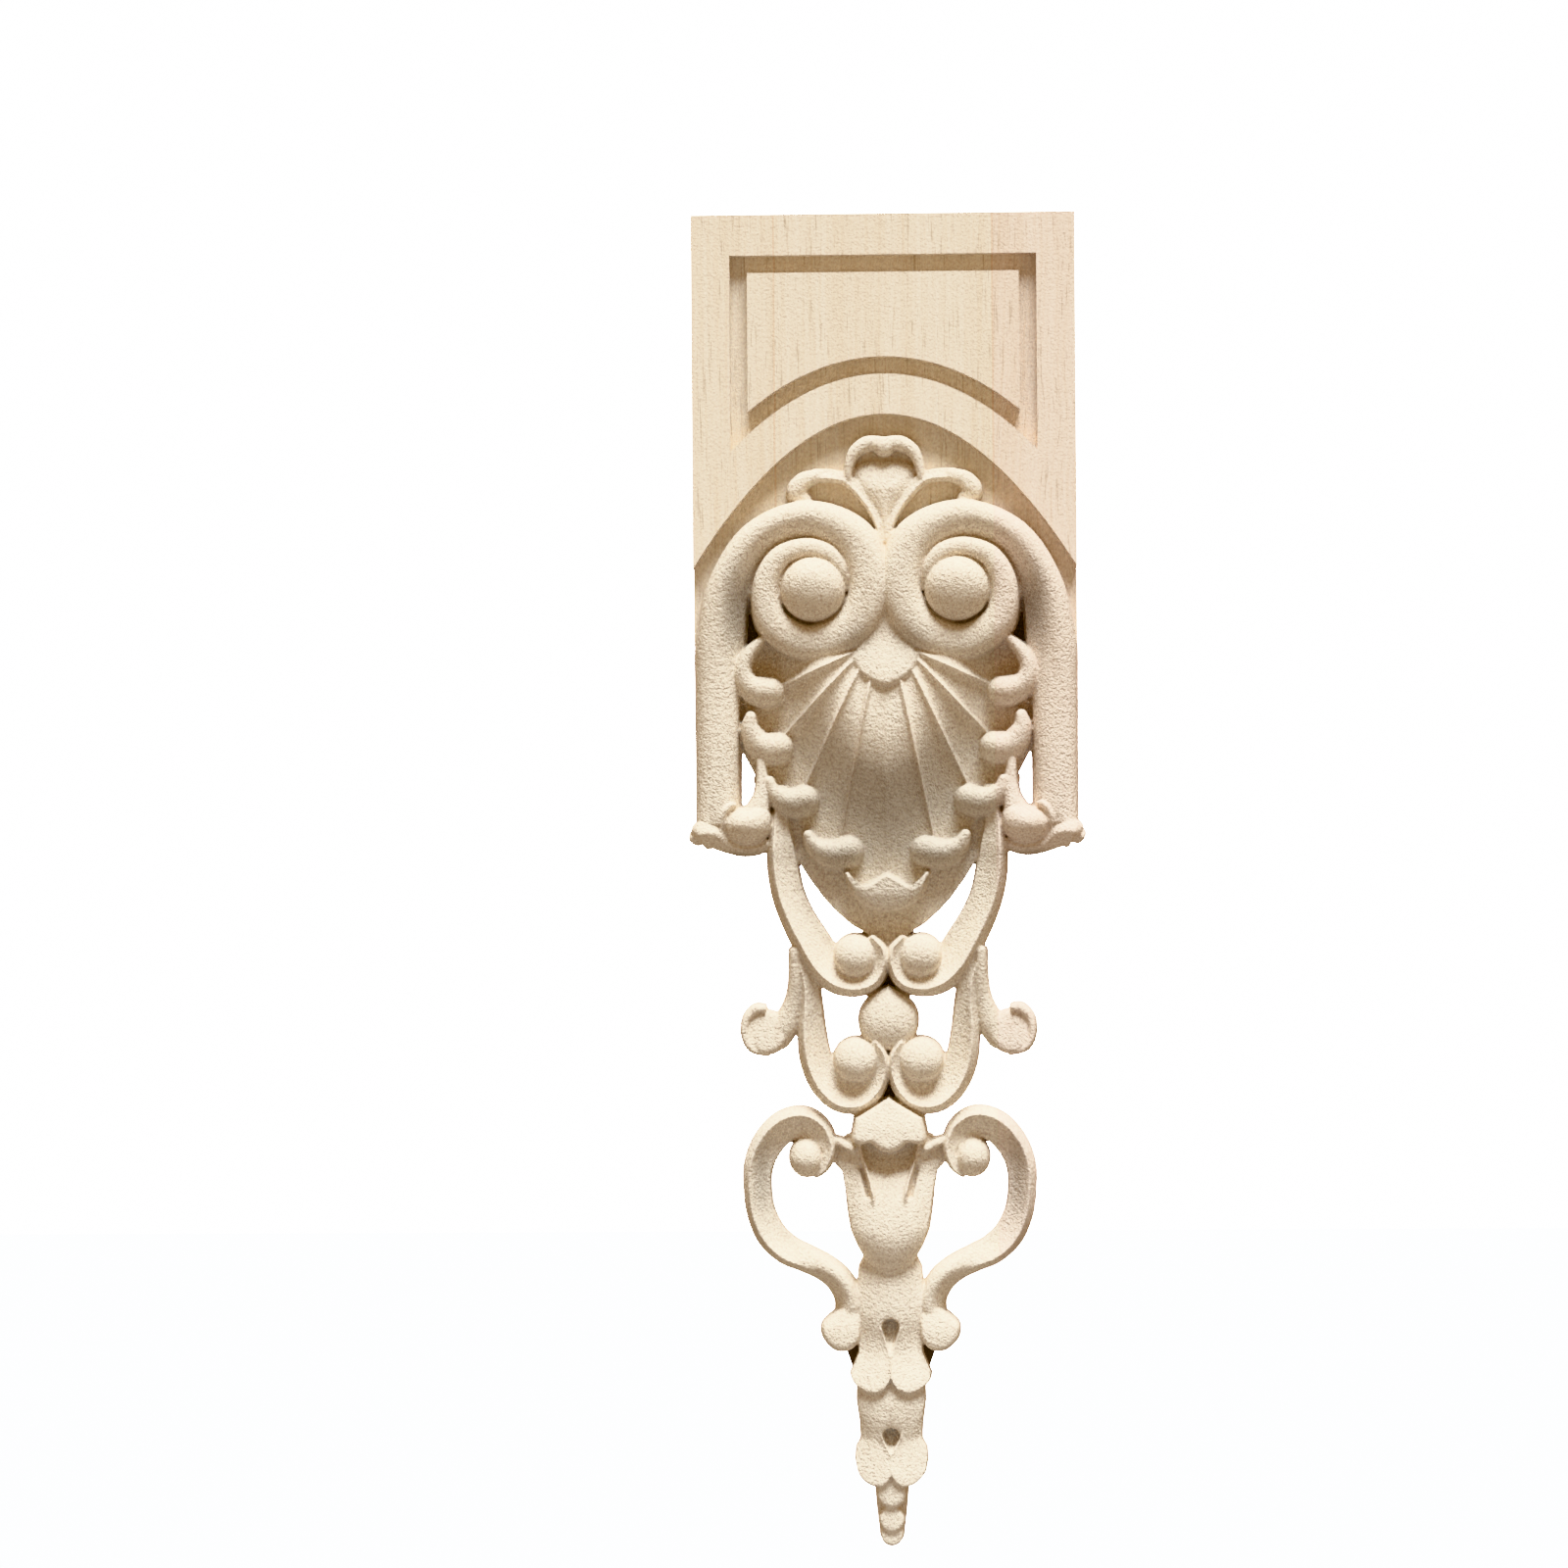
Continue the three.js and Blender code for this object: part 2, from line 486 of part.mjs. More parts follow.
// A husk is a sheet that ends in two petals, with a notch between them. The eye is a pit with a ramp for
// a floor, deep at its top and running out at its tip.
function husk(halfAt, crownAt, [top, notch, tip], [eyeTop, eyeWide, eyeTip]) {
  const rounding = 2.6; // how much lower the sheet is at its sides
  const sheet = reshape(new THREE.BoxGeometry(1, 1, 1, 8, 1, 7), ({ x, y, z }) => {
    const across = 2 * x;
    const share = z + 0.5;
    const petal = Math.sqrt(Math.max(0, 1 - (2 * Math.abs(across) - 1) ** 2));
    const down = THREE.MathUtils.lerp(top, THREE.MathUtils.lerp(notch, tip, petal), share);
    const crown = crownAt(THREE.MathUtils.lerp(top, tip, share)) - rounding * across ** 2;
    const lean = y < 0 ? DRAFT * crown : 0;
    return place(across * (halfAt(down) + lean), down + share * lean, y < 0 ? 0 : crown);
  });
  const outline = mirrored([[0, eyeTop], [2.6, eyeWide], [0, eyeTip]]);
  const eye = pad(outline, level(HUSK + 2), level(HUSK + 2), { sides: 12, centre: [0, eyeWide + 1.5] });
  const brow = crownAt(eyeTop);
  const ramp = slope([[eyeTop, brow - 4], [eyeWide, brow - 3.5], [eyeTip, crownAt(eyeTip) - 0.2]]);
  const floor = reshape(new THREE.BoxGeometry(10, 1, 1, 1, 1, 4), ({ x, y, z }) => {
    const down = THREE.MathUtils.lerp(eyeTop - 2, eyeTip + 2, z + 0.5);
    return place(x, down, y < 0 ? 0 : ramp(down));
  });
  return solidOf(sheet).subtract(solidOf(eye).subtract(solidOf(floor)));
}

const carving = wasm.Manifold.union([
  board(),
  ...crest(),
  ...volutes(),
  ...shell(),
  ...feet(),
  ...scrolls(),
  ...hooks(),
  ...middleBead(),
  ...calyx(),
  ...handles(),
  ...drop(),
]).asOriginal().simplify(0.17);

const { numProp, vertProperties, triVerts } = carving.getMesh();
const geometry = new THREE.BufferGeometry();
geometry.setAttribute('position', new THREE.BufferAttribute(vertProperties, numProp));
geometry.setIndex(new THREE.BufferAttribute(triVerts, 1));
geometry.computeVertexNormals();

const wood = new THREE.MeshStandardMaterial({ color: 0xe3d0ae, roughness: 0.8, metalness: 0 });
const applique = new THREE.Mesh(geometry, wood);
applique.name = 'applique';

const part = new THREE.Group();
part.add(applique);
export default part;
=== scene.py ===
import math

import bmesh
import bpy
import numpy as np
from mathutils import Matrix, Vector


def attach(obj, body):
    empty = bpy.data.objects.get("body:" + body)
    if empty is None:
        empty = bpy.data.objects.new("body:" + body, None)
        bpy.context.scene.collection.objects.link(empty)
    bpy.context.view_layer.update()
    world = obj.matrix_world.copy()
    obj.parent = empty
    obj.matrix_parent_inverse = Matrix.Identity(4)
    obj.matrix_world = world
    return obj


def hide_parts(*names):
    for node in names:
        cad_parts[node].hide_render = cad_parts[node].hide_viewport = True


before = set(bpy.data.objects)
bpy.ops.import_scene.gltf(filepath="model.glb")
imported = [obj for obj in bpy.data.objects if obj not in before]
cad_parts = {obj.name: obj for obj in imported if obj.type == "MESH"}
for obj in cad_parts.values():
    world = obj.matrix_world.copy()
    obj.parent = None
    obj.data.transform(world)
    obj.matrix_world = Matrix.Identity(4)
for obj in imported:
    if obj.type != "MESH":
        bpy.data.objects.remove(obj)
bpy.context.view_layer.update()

# The board is the flat upper half, edge-glued from three strips of pale hardwood and planed 12 mm thick.
# A router has cut a groove round its panel and sunk the arched field that the carving stands in.

HALF_HEIGHT = 200.0
BOARD_HALF = 57.5
BOARD_TOP = 12.0
FIELD_TOP = 7.0
ARCH_PEAK = 60.0  # from the top edge down to the top of the field's arch
ARCH_FALL = 46.0  # from there down to where it meets the sides
ARCH_BAND = 12.0
BORDER = 11.6
TOP_BORDER = 12.3
GROOVE = 5.2
GROOVE_FLOOR = 8.0
CLEAR = 20.0  # a height above all of the board
SPARE = 2.0  # wood behind the back, sawn off at the end


def at(out, down, above):
    """A point, in millimetres: out from the middle line, down from the top edge and above the back."""
    return Vector((out, -above, HALF_HEIGHT - down))


def points_of(geometry):
    return [item for item in geometry if isinstance(item, bmesh.types.BMVert)]


def slab(outline, low, high):
    """A flat piece of wood with the given outline, between two heights above the back."""
    bm = bmesh.new()
    base = bm.faces.new([bm.verts.new(at(out, down, low)) for out, down in outline])
    raised = bmesh.ops.extrude_face_region(bm, geom=[base])["geom"]
    bmesh.ops.translate(bm, verts=points_of(raised), vec=(0, low - high, 0))
    bmesh.ops.recalc_face_normals(bm, faces=bm.faces)
    return bm


def workpiece(bm, name):
    mesh = bpy.data.meshes.new(name)
    bm.to_mesh(mesh)
    bm.free()
    piece = bpy.data.objects.new(name, mesh)
    bpy.context.scene.collection.objects.link(piece)
    return piece


def settled(piece):
    """The piece with its modifiers applied to its mesh."""
    bpy.context.view_layer.update()
    seen = piece.evaluated_get(bpy.context.evaluated_depsgraph_get())
    mesh = bpy.data.meshes.new_from_object(seen)
    piece.modifiers.clear()
    piece.data = mesh
    return piece


def worked(piece, tool, operation):
    """The piece after another one is cut out of it or joined to it."""
    step = piece.modifiers.new(operation, "BOOLEAN")
    step.operation = operation
    step.solver = "MANIFOLD"
    step.object = tool
    settled(piece)
    bpy.data.objects.remove(tool)
    return piece


def arch(offset, half_span, points=48):
    """The line of the field's arch, moved up by an offset and cut off square at both sides."""
    line = []
    for i in range(points * 2 + 1):
        out = BOARD_HALF * 1.1 * (1 - i / points)
        down = ARCH_PEAK + ARCH_FALL * (out / BOARD_HALF) ** 2
        lean = 2 * ARCH_FALL * out / BOARD_HALF**2
        length = math.hypot(1, lean)
        line.append((out + offset * lean / length, down - offset / length))
    outs = [-out for out, _ in line]
    end_down = np.interp(half_span, outs, [down for _, down in line])
    inside = [(out, down) for out, down in line if abs(out) < half_span - 0.1]
    return [(half_span, end_down), *inside, (-half_span, end_down)]


def mirrored(half):
    """A closed outline from its right half."""
    return [*half, *[(-out, down) for out, down in reversed(half) if out > 0]]


board_edge = mirrored([(BOARD_HALF, 0), (BOARD_HALF, 129), (49.3, 129), (44, 114)])
board = workpiece(slab(board_edge, -SPARE, BOARD_TOP), "board")
side = BOARD_HALF + 2
field_edge = [*arch(0, side), (-side, 140), (side, 140)]
worked(board, workpiece(slab(field_edge, FIELD_TOP, CLEAR), "field"), "DIFFERENCE")
outer = BOARD_HALF - BORDER
groove_edge = [*arch(ARCH_BAND, outer), (-outer, TOP_BORDER), (outer, TOP_BORDER)]
groove = workpiece(slab(groove_edge, GROOVE_FLOOR, CLEAR), "groove")
inner = outer - GROOVE
panel_end = TOP_BORDER + GROOVE
panel_edge = [*arch(ARCH_BAND + GROOVE, inner), (-inner, panel_end), (inner, panel_end)]
worked(groove, workpiece(slab(panel_edge, 0, CLEAR + 2), "panel"), "DIFFERENCE")
worked(board, groove, "DIFFERENCE")

# The volutes are carved from the same wood as the board, with a round-nosed cutter, and stand highest of
# all. Each leg rises from its foot, rolls over at the top and winds in to a domed eye.

DRAFT = 0.1  # how far a side leans out for each millimetre of its height
carving = bmesh.new()


def between(t, a, b, c, d):
    """A smooth curve from b to c, for t from 0 to 1."""
    return 0.5 * (2 * b + (c - a) * t + (2 * a - 5 * b + 4 * c - d) * t**2 + (3 * b - a - 3 * c + d) * t**3)


def through(rows, steps):
    """Rows of numbers on a smooth curve through the given ones."""
    ends = [rows[0], *rows, rows[-1]]
    made = []
    for quad in zip(ends, ends[1:], ends[2:], ends[3:]):
        for i in range(steps):
            made.append([between(i / steps, *column) for column in zip(*quad)])
    made.append(list(rows[-1]))
    return made


def skin(rings):
    """A closed skin over a row of closed rings of points."""
    around = len(rings[0])
    bm = bmesh.new()
    bmesh.ops.create_grid(bm, x_segments=len(rings) - 1, y_segments=around, size=1)
    for vert in bm.verts:
        row = round((vert.co.x + 1) / 2 * (len(rings) - 1))
        place = round((vert.co.y + 1) / 2 * around) % around
        vert.co = rings[row][place]
    bmesh.ops.remove_doubles(bm, verts=bm.verts, dist=1e-4)
    bmesh.ops.holes_fill(bm, edges=[e for e in bm.edges if e.is_boundary], sides=0)
    bmesh.ops.recalc_face_normals(bm, faces=bm.faces)
    return bm


def carve(bm, both=True):
    """Adds a shape to the carving, and its mirror image on the other side."""
    if both:
        twin = bmesh.ops.duplicate(bm, geom=bm.verts[:] + bm.edges[:] + bm.faces[:])["geom"]
        bmesh.ops.scale(bm, verts=points_of(twin), vec=(-1, 1, 1))
        bmesh.ops.reverse_faces(bm, faces=[f for f in twin if isinstance(f, bmesh.types.BMFace)])
    shape = bpy.data.meshes.new("shape")
    bm.to_mesh(shape)
    bm.free()
    carving.from_mesh(shape)
    bpy.data.meshes.remove(shape)


def round_top(t):
    """The height across a strip, for t from -1 on the right of its way to 1 on the left."""
    return (1 - abs(t) ** 2.5) ** 0.5


def lean_top(t):
    """A crest near the right side and a long slope down to the left one."""
    crest = -0.25
    if t < crest:
        return (1 - ((crest - t) / (crest + 1)) ** 2.5) ** 0.5
    return 1 - 1.3 * ((t - crest) / (1 - crest)) ** 1.8


def roll(stations, top=round_top, steps=6, ends=(1, 1), rise=0.9, points=17):
    """A rounded strip along stations of out, down, half width and crown height. A fifth number, up to 1,
    makes its left side a long slope. Its crown stands above its edges by rise times its half width."""
    rows = through(stations, steps)
    shares = [math.sin(math.pi / 2 * (2 * i / (points - 1) - 1)) for i in range(points)]

    def ring_at(swing, place, along, half, crown, lean=0):
        centre = place + along * math.sin(swing) * half
        narrow = half * math.cos(swing)
        edge = crown - rise * half
        across = Vector((along.y, -along.x))
        foot = narrow + DRAFT * edge
        lifts = [top(t) + lean * (lean_top(t) - top(t)) for t in shares]
        ring = [(centre + across * t * narrow, edge + lift * rise * narrow) for t, lift in zip(shares, lifts)]
        ring += [(centre + across * foot, -SPARE), (centre - across * foot, -SPARE)]
        return [at(*flat, above) for flat, above in ring]

    def way(i):
        before, after = rows[max(i - 1, 0)], rows[min(i + 1, len(rows) - 1)]
        return Vector((after[0] - before[0], after[1] - before[1])).normalized()

    last = len(rows) - 1
    swings = [math.radians(s) for s in (20, 38, 54, 68, 79, 86)]
    stops = [(0, -swing) for swing in reversed(swings)] if ends[0] else []
    stops += [(i, 0) for i in range(len(rows))]
    stops += [(last, swing) for swing in swings] if ends[1] else []
    return skin([ring_at(swing, Vector(rows[i][:2]), way(i), *rows[i][2:]) for i, swing in stops])


def ball(out, down, radius, shoulder, top, tall=1.0, lean=0.0):
    """A round boss. Its crown lies above its middle by its lean, in millimetres."""
    turns = np.linspace(0, math.tau, 64, endpoint=False)

    def ring_of(r, above, shift):
        return [at(out + r * math.cos(a), down - shift + r * tall * math.sin(a), above) for a in turns]

    rings = [ring_of(radius + DRAFT * shoulder, -SPARE, 0)]
    for swing in np.linspace(0, 1.54, 18):
        above = shoulder + (top - shoulder) * math.sin(swing)
        rings.append(ring_of(radius * math.cos(swing), above, lean * (1 - math.cos(swing))))
    return skin(rings)


LEG = 14.5
VOLUTE = 18.0
EYE = 22.0

carve(roll(
    [(50.7, 182.5, 6.3, LEG - 0.5, 0), (50.6, 159.2, 6.4, LEG, 0), (50.4, 141.6, 6.7, LEG + 0.3, 0.3),
     (49.6, 127, 7.2, LEG + 1, 0.8), (46.7, 111, 6.2, VOLUTE - 1.5, 1), (37.8, 97.4, 5.9, VOLUTE - 1, 1),
     (23, 91.6, 5.7, VOLUTE - 0.5, 0.6), (8.9, 97.7, 6.3, VOLUTE, 0.2), (4.6, 111.5, 6.2, VOLUTE, 0),
     (10.2, 124, 5.9, VOLUTE - 1, 0), (22.9, 128.4, 5.5, VOLUTE - 2.2, 0), (33.4, 122.6, 4.9, VOLUTE - 1, 0),
     (35.6, 112, 4, VOLUTE - 0.4, 0), (31.8, 103.4, 3.3, VOLUTE, 0), (24.2, 100.1, 2.8, VOLUTE, 0),
     (17.6, 101.4, 2.6, VOLUTE - 0.2, 0), (13.8, 105, 2, VOLUTE - 0.8, 0), (12.3, 108.6, 1.4, VOLUTE - 2, 0),
     (11.8, 112, 1, VOLUTE - 4, 0)],
    steps=8, ends=(0, 1), points=21,
))
carve(ball(22.8, 111.5, 18, 9.8, 10.2))
carve(ball(21.6, 112.3, 9.8, EYE - 8.5, EYE, lean=2.8))

# The crest is a small palmette between the volutes, carved in low relief on the floor of the field. It
# stands under a rolled lip that is notched in the middle, and a leaf on each side ends in a curl.


def cove_top(t):
    """A hollow that climbs from the right edge to a crisp rim near the left one."""
    rim = 0.5
    if t < rim:
        return 0.1 + 0.9 * ((t + 1) / (rim + 1)) ** 1.7
    return 1 - 0.85 * ((t - rim) / (1 - rim)) ** 1.3


def level(height):
    return lambda down: height


def slope(*stops):
    """A height, or a width, that changes between stops of down and height."""
    downs, heights = zip(*stops)
    return lambda down: float(np.interp(down, downs, heights))


CUSHION = [(math.cos(swing), math.sin(swing)) for swing in np.linspace(0, 1.52, 14)]


def dome(outline, shoulder_at, crown_at, centre=None, profile=CUSHION, sides=96):
    """A cushion on a closed outline, with heights that follow how far down it is. A point given twice is a
    corner. The profile pairs a share of the outline's size with a share of the height."""
    count = len(outline)
    closed = through([*outline, *outline[:3]], 12)[12:12 * (count + 1)]
    line = [Vector(row) for row in closed]
    line.append(line[0])
    lengths = np.cumsum([0] + [(b - a).length for a, b in zip(line, line[1:])])
    spots = np.linspace(0, lengths[-1], sides, endpoint=False)
    outs = np.interp(spots, lengths, [p.x for p in line])
    downs = np.interp(spots, lengths, [p.y for p in line])
    loop = [Vector(pair) for pair in zip(outs, downs)]
    middle = Vector(centre) if centre else sum(loop, Vector((0, 0))) / sides
    rings = [[at(*(p + (p - middle).normalized() * DRAFT * shoulder_at(p.y)), -SPARE) for p in loop]]
    for share, lift in profile:
        ring = []
        for p in loop:
            spot = middle + (p - middle) * share
            low, high = shoulder_at(spot.y), crown_at(spot.y)
            ring.append(at(*spot, low + (high - low) * lift))
        rings.append(ring)
    return skin(rings)


CREST = FIELD_TOP + 4.5

carve(dome(
    mirrored([(0, 74.2), (4.5, 74), (8.4, 75.6), (9.3, 78.6), (7.4, 83.8), (4.2, 88.9), (1.6, 93.6),
              (1, 104), (0, 106)]),
    level(FIELD_TOP + 1), slope((74, CREST - 1), (82, CREST + 0.4), (95, CREST - 0.4)), centre=(0, 84),
), both=False)
carve(roll(
    [(-11, 79.4, 0.9, CREST), (-10.5, 75.2, 1.3, CREST + 0.6), (-8.9, 71.4, 1.8, CREST + 1),
     (-5.6, 69, 2.2, CREST + 1.2), (-2.5, 68.7, 2.2, CREST + 1.2), (0, 69.7, 3, CREST + 1.4),
     (2.5, 68.7, 2.2, CREST + 1.2), (5.6, 69, 2.2, CREST + 1.2), (8.9, 71.4, 1.8, CREST + 1),
     (10.5, 75.2, 1.3, CREST + 0.6), (11, 79.4, 0.9, CREST)],
), both=False)
carve(roll(
    [(20.6, 78.2, 1.9, CREST + 0.6), (15.6, 78.3, 1.8, CREST + 0.4), (11.4, 79.5, 1.7, CREST + 0.2),
     (7.6, 83.2, 1.5, CREST + 0.2), (4.2, 88, 1.2, CREST), (2, 93, 0.9, CREST), (1, 98, 0.8, CREST)],
    top=cove_top,
))
carve(roll([(19.8, 78.2, 1.8, CREST + 0.4), (24.2, 79.8, 2.6, CREST + 1), (26.4, 83, 3, CREST + 1),
            (24.4, 85.4, 2.6, CREST)]))

# The shell is a scallop of nine flutes with thin ridges between them, dished, on a plate cut thin all
# round. It is carved below the volutes. Its rim curls into pairs of lobes, and a tongue covers its hinge.

BACKING = 4.5
WEB = 1.2  # thin wood left at the bottom of the deepest pockets
SHELL = 13.0
LOBE = 14.0
HINGE = 130.0
RIDGES = [0.5, 1, 2, 3, 4, 5]
HINGE_OUTS = [0, 2.6, 5, 6.2, 6.5, 6]
RIM = [(0, 207), (15.8, 195.5), (28.6, 180), (37.8, 163.5), (43, 146.5), (44.5, 128.5)]
CRISP = [(1, 0), (0.975, 0.45), (0.94, 0.7), (0.88, 0.86), (0.78, 0.94), (0.6, 0.98), (0.3, 1), (0.03, 1)]


def swell(*stops):
    """A height between stops of down and height, on a smooth curve."""
    return slope(*through(stops, 8))


def clamp(value):
    return min(max(value, 0), 1)


def sheet(across, along, surface):
    """A block whose top follows surface(u, v), with u and v from 0 to 1. Its sides go down to the back."""
    bm = bmesh.new()
    bmesh.ops.create_grid(bm, x_segments=across, y_segments=along, size=1)
    for vert in bm.verts:
        vert.co = at(*surface((vert.co.x + 1) / 2, (vert.co.y + 1) / 2))
    low = bmesh.ops.extrude_face_region(bm, geom=bm.faces[:])["geom"]
    middle = sum((v.co for v in bm.verts), Vector()) / len(bm.verts)
    for vert in points_of(low):
        away = Vector((vert.co.x - middle.x, 0, vert.co.z - middle.z)).normalized()
        vert.co += away * DRAFT * -vert.co.y
        vert.co.y = SPARE
    bmesh.ops.recalc_face_normals(bm, faces=bm.faces)
    return bm


plate_edge = [
    (0, 217.9), (5.5, 216.2), (11, 212.9), (15.6, 208.8), (19.1, 205), (23.2, 199.4), (27, 193.3),
    (31.3, 182.7), (37.9, 171.8), (39.9, 167.2), (44, 159.5), (45.9, 151.3), (46.8, 145.2), (46.6, 137.8),
    (45, 133), (37.8, 126.5), (0, 114),
]
carve(slab(mirrored(plate_edge), -SPARE, BACKING), both=False)
# This thin web is painted nearly black further on, as painted shade in its pocket
carve(slab([(36, 116), (46, 110), (49, 131), (38, 134)], -SPARE, WEB))

# From the hinge, at 0, to the rim, at 1
shell_height = swell((0, 12.4), (0.14, 14.4), (0.26, 15.5), (0.37, 15.3), (0.48, 13.4), (0.6, 10),
                     (0.72, 7), (0.82, 5.6), (0.92, 5.2), (1, 5.6))


def fan(u, v):
    """A point of the shell, across the flutes by u and from the hinge to the rim by v."""
    place = 9 * u - 4.5
    side = -1 if place < 0 else 1
    ridge = abs(place) + 0.5
    flute = ridge % 1
    hinge = Vector((side * float(np.interp(ridge, RIDGES, HINGE_OUTS)), HINGE))
    rim_out, rim_down = (float(np.interp(ridge, RIDGES, row)) for row in zip(*RIM))
    rib = Vector((side * rim_out, rim_down)) - hinge
    spot = hinge + rib * v
    flute_width = rib.length * v * (0.52 if ridge < 1 else 0.26)
    from_ridge = min(flute, 1 - flute) * flute_width
    hollow = 0.7 * min(v / 0.4, 1) * math.sin(math.pi * flute) ** 0.8
    crest = 1.5 * min(v / 0.2, 1) * math.exp(-((from_ridge / 0.42) ** 2))
    outer_fall = 1.3 * clamp(ridge - 4)
    return spot.x, spot.y, shell_height(v) - hollow + crest - outer_fall


carve(sheet(468, 110, fan), both=False)
carve(dome(
    mirrored([(0, 116), (3.6, 121), (9.9, 132.4), (9.9, 132.4), (9, 136), (6.2, 139.2), (2.4, 141.2),
              (0, 142), (0, 142)]),
    level(SHELL + 0.4), slope((124, SHELL), (133, SHELL + 2.4), (142, SHELL + 4.2)), centre=(0, 132),
    profile=CRISP,
), both=False)
for order, lobe in enumerate([
    [(37.2, 127.6, 1.1), (40.2, 130.6, 1.8), (42.4, 134.2, 2.4), (42.7, 138, 3), (41, 141.2, 3.9),
     (37.5, 143, 4.7), (34.7, 143, 4.3)],
    [(40.5, 150.3, 1.6), (40.7, 154, 2.9), (38.5, 158.4, 4.3), (34.8, 160.1, 5), (32.6, 159.8, 4.7)],
    [(35, 169.6, 1.4), (34.2, 172.6, 2.4), (31.3, 175.3, 3.8), (27.5, 176.3, 4.7), (24.8, 175.5, 4.5)],
    [(23.6, 185.9, 1.4), (22, 189, 2.6), (18.8, 191.2, 3.9), (14.8, 191.8, 4.6), (11.6, 191, 4.6)],
]):
    carve(roll([(*station, LOBE - 0.5 * order, 0.3) for station in lobe], rise=1.1))
carve(dome(
    mirrored([(0, 198.2), (0, 198.2), (3, 199.6), (6.6, 202), (9, 201.6), (12, 197.4), (12, 197.4),
              (11.7, 201.2), (9.4, 205), (5.4, 207.8), (0, 208.8)]),
    level(LOBE - 6), slope((198, LOBE - 0.8), (204, LOBE - 1.4), (209, LOBE - 2.8)), centre=(0, 204),
    profile=CRISP,
), both=False)
carve(roll([(12, 197.6, 0.5, LOBE - 2), (9.6, 201.4, 0.6, LOBE - 1.4), (6.6, 202.4, 0.7, LOBE - 1.2),
            (3, 200.3, 0.7, LOBE - 1.2), (0, 198.6, 0.7, LOBE - 1.2)]))
carve(roll([(38, 169, 2, BACKING + 1.5), (33, 182, 2, BACKING + 1.5)]))

# The feet are carved at the ends of the legs. Each is a leaf that points outwards, under a neck that comes
# down from the rim of the shell and swells into a lobe, with a thin curl round its outer side.


def leaf_top(t):
    """A blade whose upper face rises to a crest and whose lower face falls away from it."""
    crest = -0.1
    if t < crest:
        return 0.3 + 0.7 * ((t + 1) / (crest + 1)) ** 0.8
    return 1 - ((t - crest) / (1 - crest)) ** 1.4


carve(roll(
    [(57.6, 186.6, 1.8, LEG - 3), (55.8, 185.6, 3.5, LEG), (52, 185.6, 3.8, LEG + 0.4),
     (48, 188.4, 2.2, LEG - 2.4), (44, 190, 1.5, LEG - 3), (40, 190, 1.4, LEG - 3.6),
     (35.8, 188.6, 1.4, LEG - 5)],
    top=leaf_top,
))
carve(roll(
    [(37.6, 163.5, 1.3, LEG - 2.5), (37.2, 169, 1.7, LEG - 2.2), (37.4, 174, 2.3, LEG - 1.6),
     (38.6, 178.5, 3.6, LEG - 1), (40, 181, 4, LEG - 1)],
))
carve(dome(
    [(39.6, 176.8), (43.9, 177.9), (47, 179), (48.8, 182), (48, 185.6), (45.4, 188), (42, 188.9),
     (38.4, 188.2), (35.3, 185.4), (34.5, 181.4), (35.3, 178), (37.3, 176.6)],
    level(LEG - 4.5), swell((176, LEG + 0.5), (180, LEG + 2.4), (185, LEG + 2), (189, LEG - 1)),
    centre=(42, 182.6),
))
carve(roll(
    [(49.2, 183.6, 0.5, LEG - 1.2), (49.2, 181, 0.7, LEG - 0.2), (48.3, 178.6, 0.8, LEG + 0.2),
     (46.6, 176.9, 0.7, LEG), (45.3, 176.8, 0.4, LEG - 1)],
))
carve(slab([(32, 180), (44, 180), (44, 189), (32, 189)], -SPARE, 5))

# The scrolls are two pairs of Cs below the shell, hollowed along one side, each wound round a bead. A hook
# curls out at each side, and a larger bead fills the middle. The wood is cut right through between them.

SCROLL = 12.5
BEAD = 14.5
HOOK = SCROLL - 3.5

carve(roll(
    [(31.2, 171, 1.5, SCROLL - 2.5), (32.1, 181.5, 2.4, SCROLL - 1.5), (31.9, 189.1, 3.7, SCROLL),
     (31.4, 195.9, 4.4, SCROLL), (29.9, 203.8, 4.6, SCROLL), (27.1, 210.9, 4.9, SCROLL),
     (23.4, 217.6, 5.4, SCROLL), (19.4, 224, 5.7, SCROLL), (14.8, 228.3, 5.4, SCROLL),
     (9.4, 230, 4.3, SCROLL), (4.6, 228.6, 3.3, SCROLL), (2.2, 224.6, 2.2, SCROLL + 0.3),
     (2.4, 220.6, 2, SCROLL + 0.3), (4.6, 217.6, 1.4, SCROLL - 0.5)],
    top=cove_top, steps=8, ends=(0, 1), rise=1.2, points=25,
))
carve(roll(
    [(26.3, 222.3, 1.8, SCROLL - 2.5), (23.9, 229.6, 2.4, SCROLL - 2), (23.2, 237, 3.1, SCROLL - 1.5),
     (23.1, 244.9, 4, SCROLL - 1), (22, 253.1, 4.6, SCROLL - 1), (18.9, 260.1, 4.9, SCROLL - 1),
     (14.2, 264.4, 4.9, SCROLL - 1), (8.8, 264.8, 4.4, SCROLL - 1), (4.4, 261.6, 3.3, SCROLL - 1),
     (2, 256.6, 2, SCROLL - 1), (2.2, 252, 1.8, SCROLL - 0.6), (4, 248.8, 1.2, SCROLL - 1.2)],
    top=cove_top, steps=8, ends=(0, 1), rise=1.2, points=25,
))
carve(ball(9.8, 222.2, 6.2, BEAD - 5, BEAD - 0.4))
carve(ball(9.8, 253.4, 6.5, BEAD - 5.6, BEAD - 1, lean=-0.8))
carve(dome(
    mirrored([(0, 231.4), (0, 231.4), (4.6, 234), (7.9, 237.8), (8.7, 242), (7.4, 246.6), (3.6, 249.8),
              (0, 250.6)]),
    level(SCROLL - 5), level(SCROLL - 0.3), centre=(0, 241.5),
), both=False)
# This thin web between the scrolls is painted nearly black further on, as painted shade in the opening
carve(slab([(-3, 220), (3, 220), (3, 268), (-3, 268)], -SPARE, WEB), both=False)
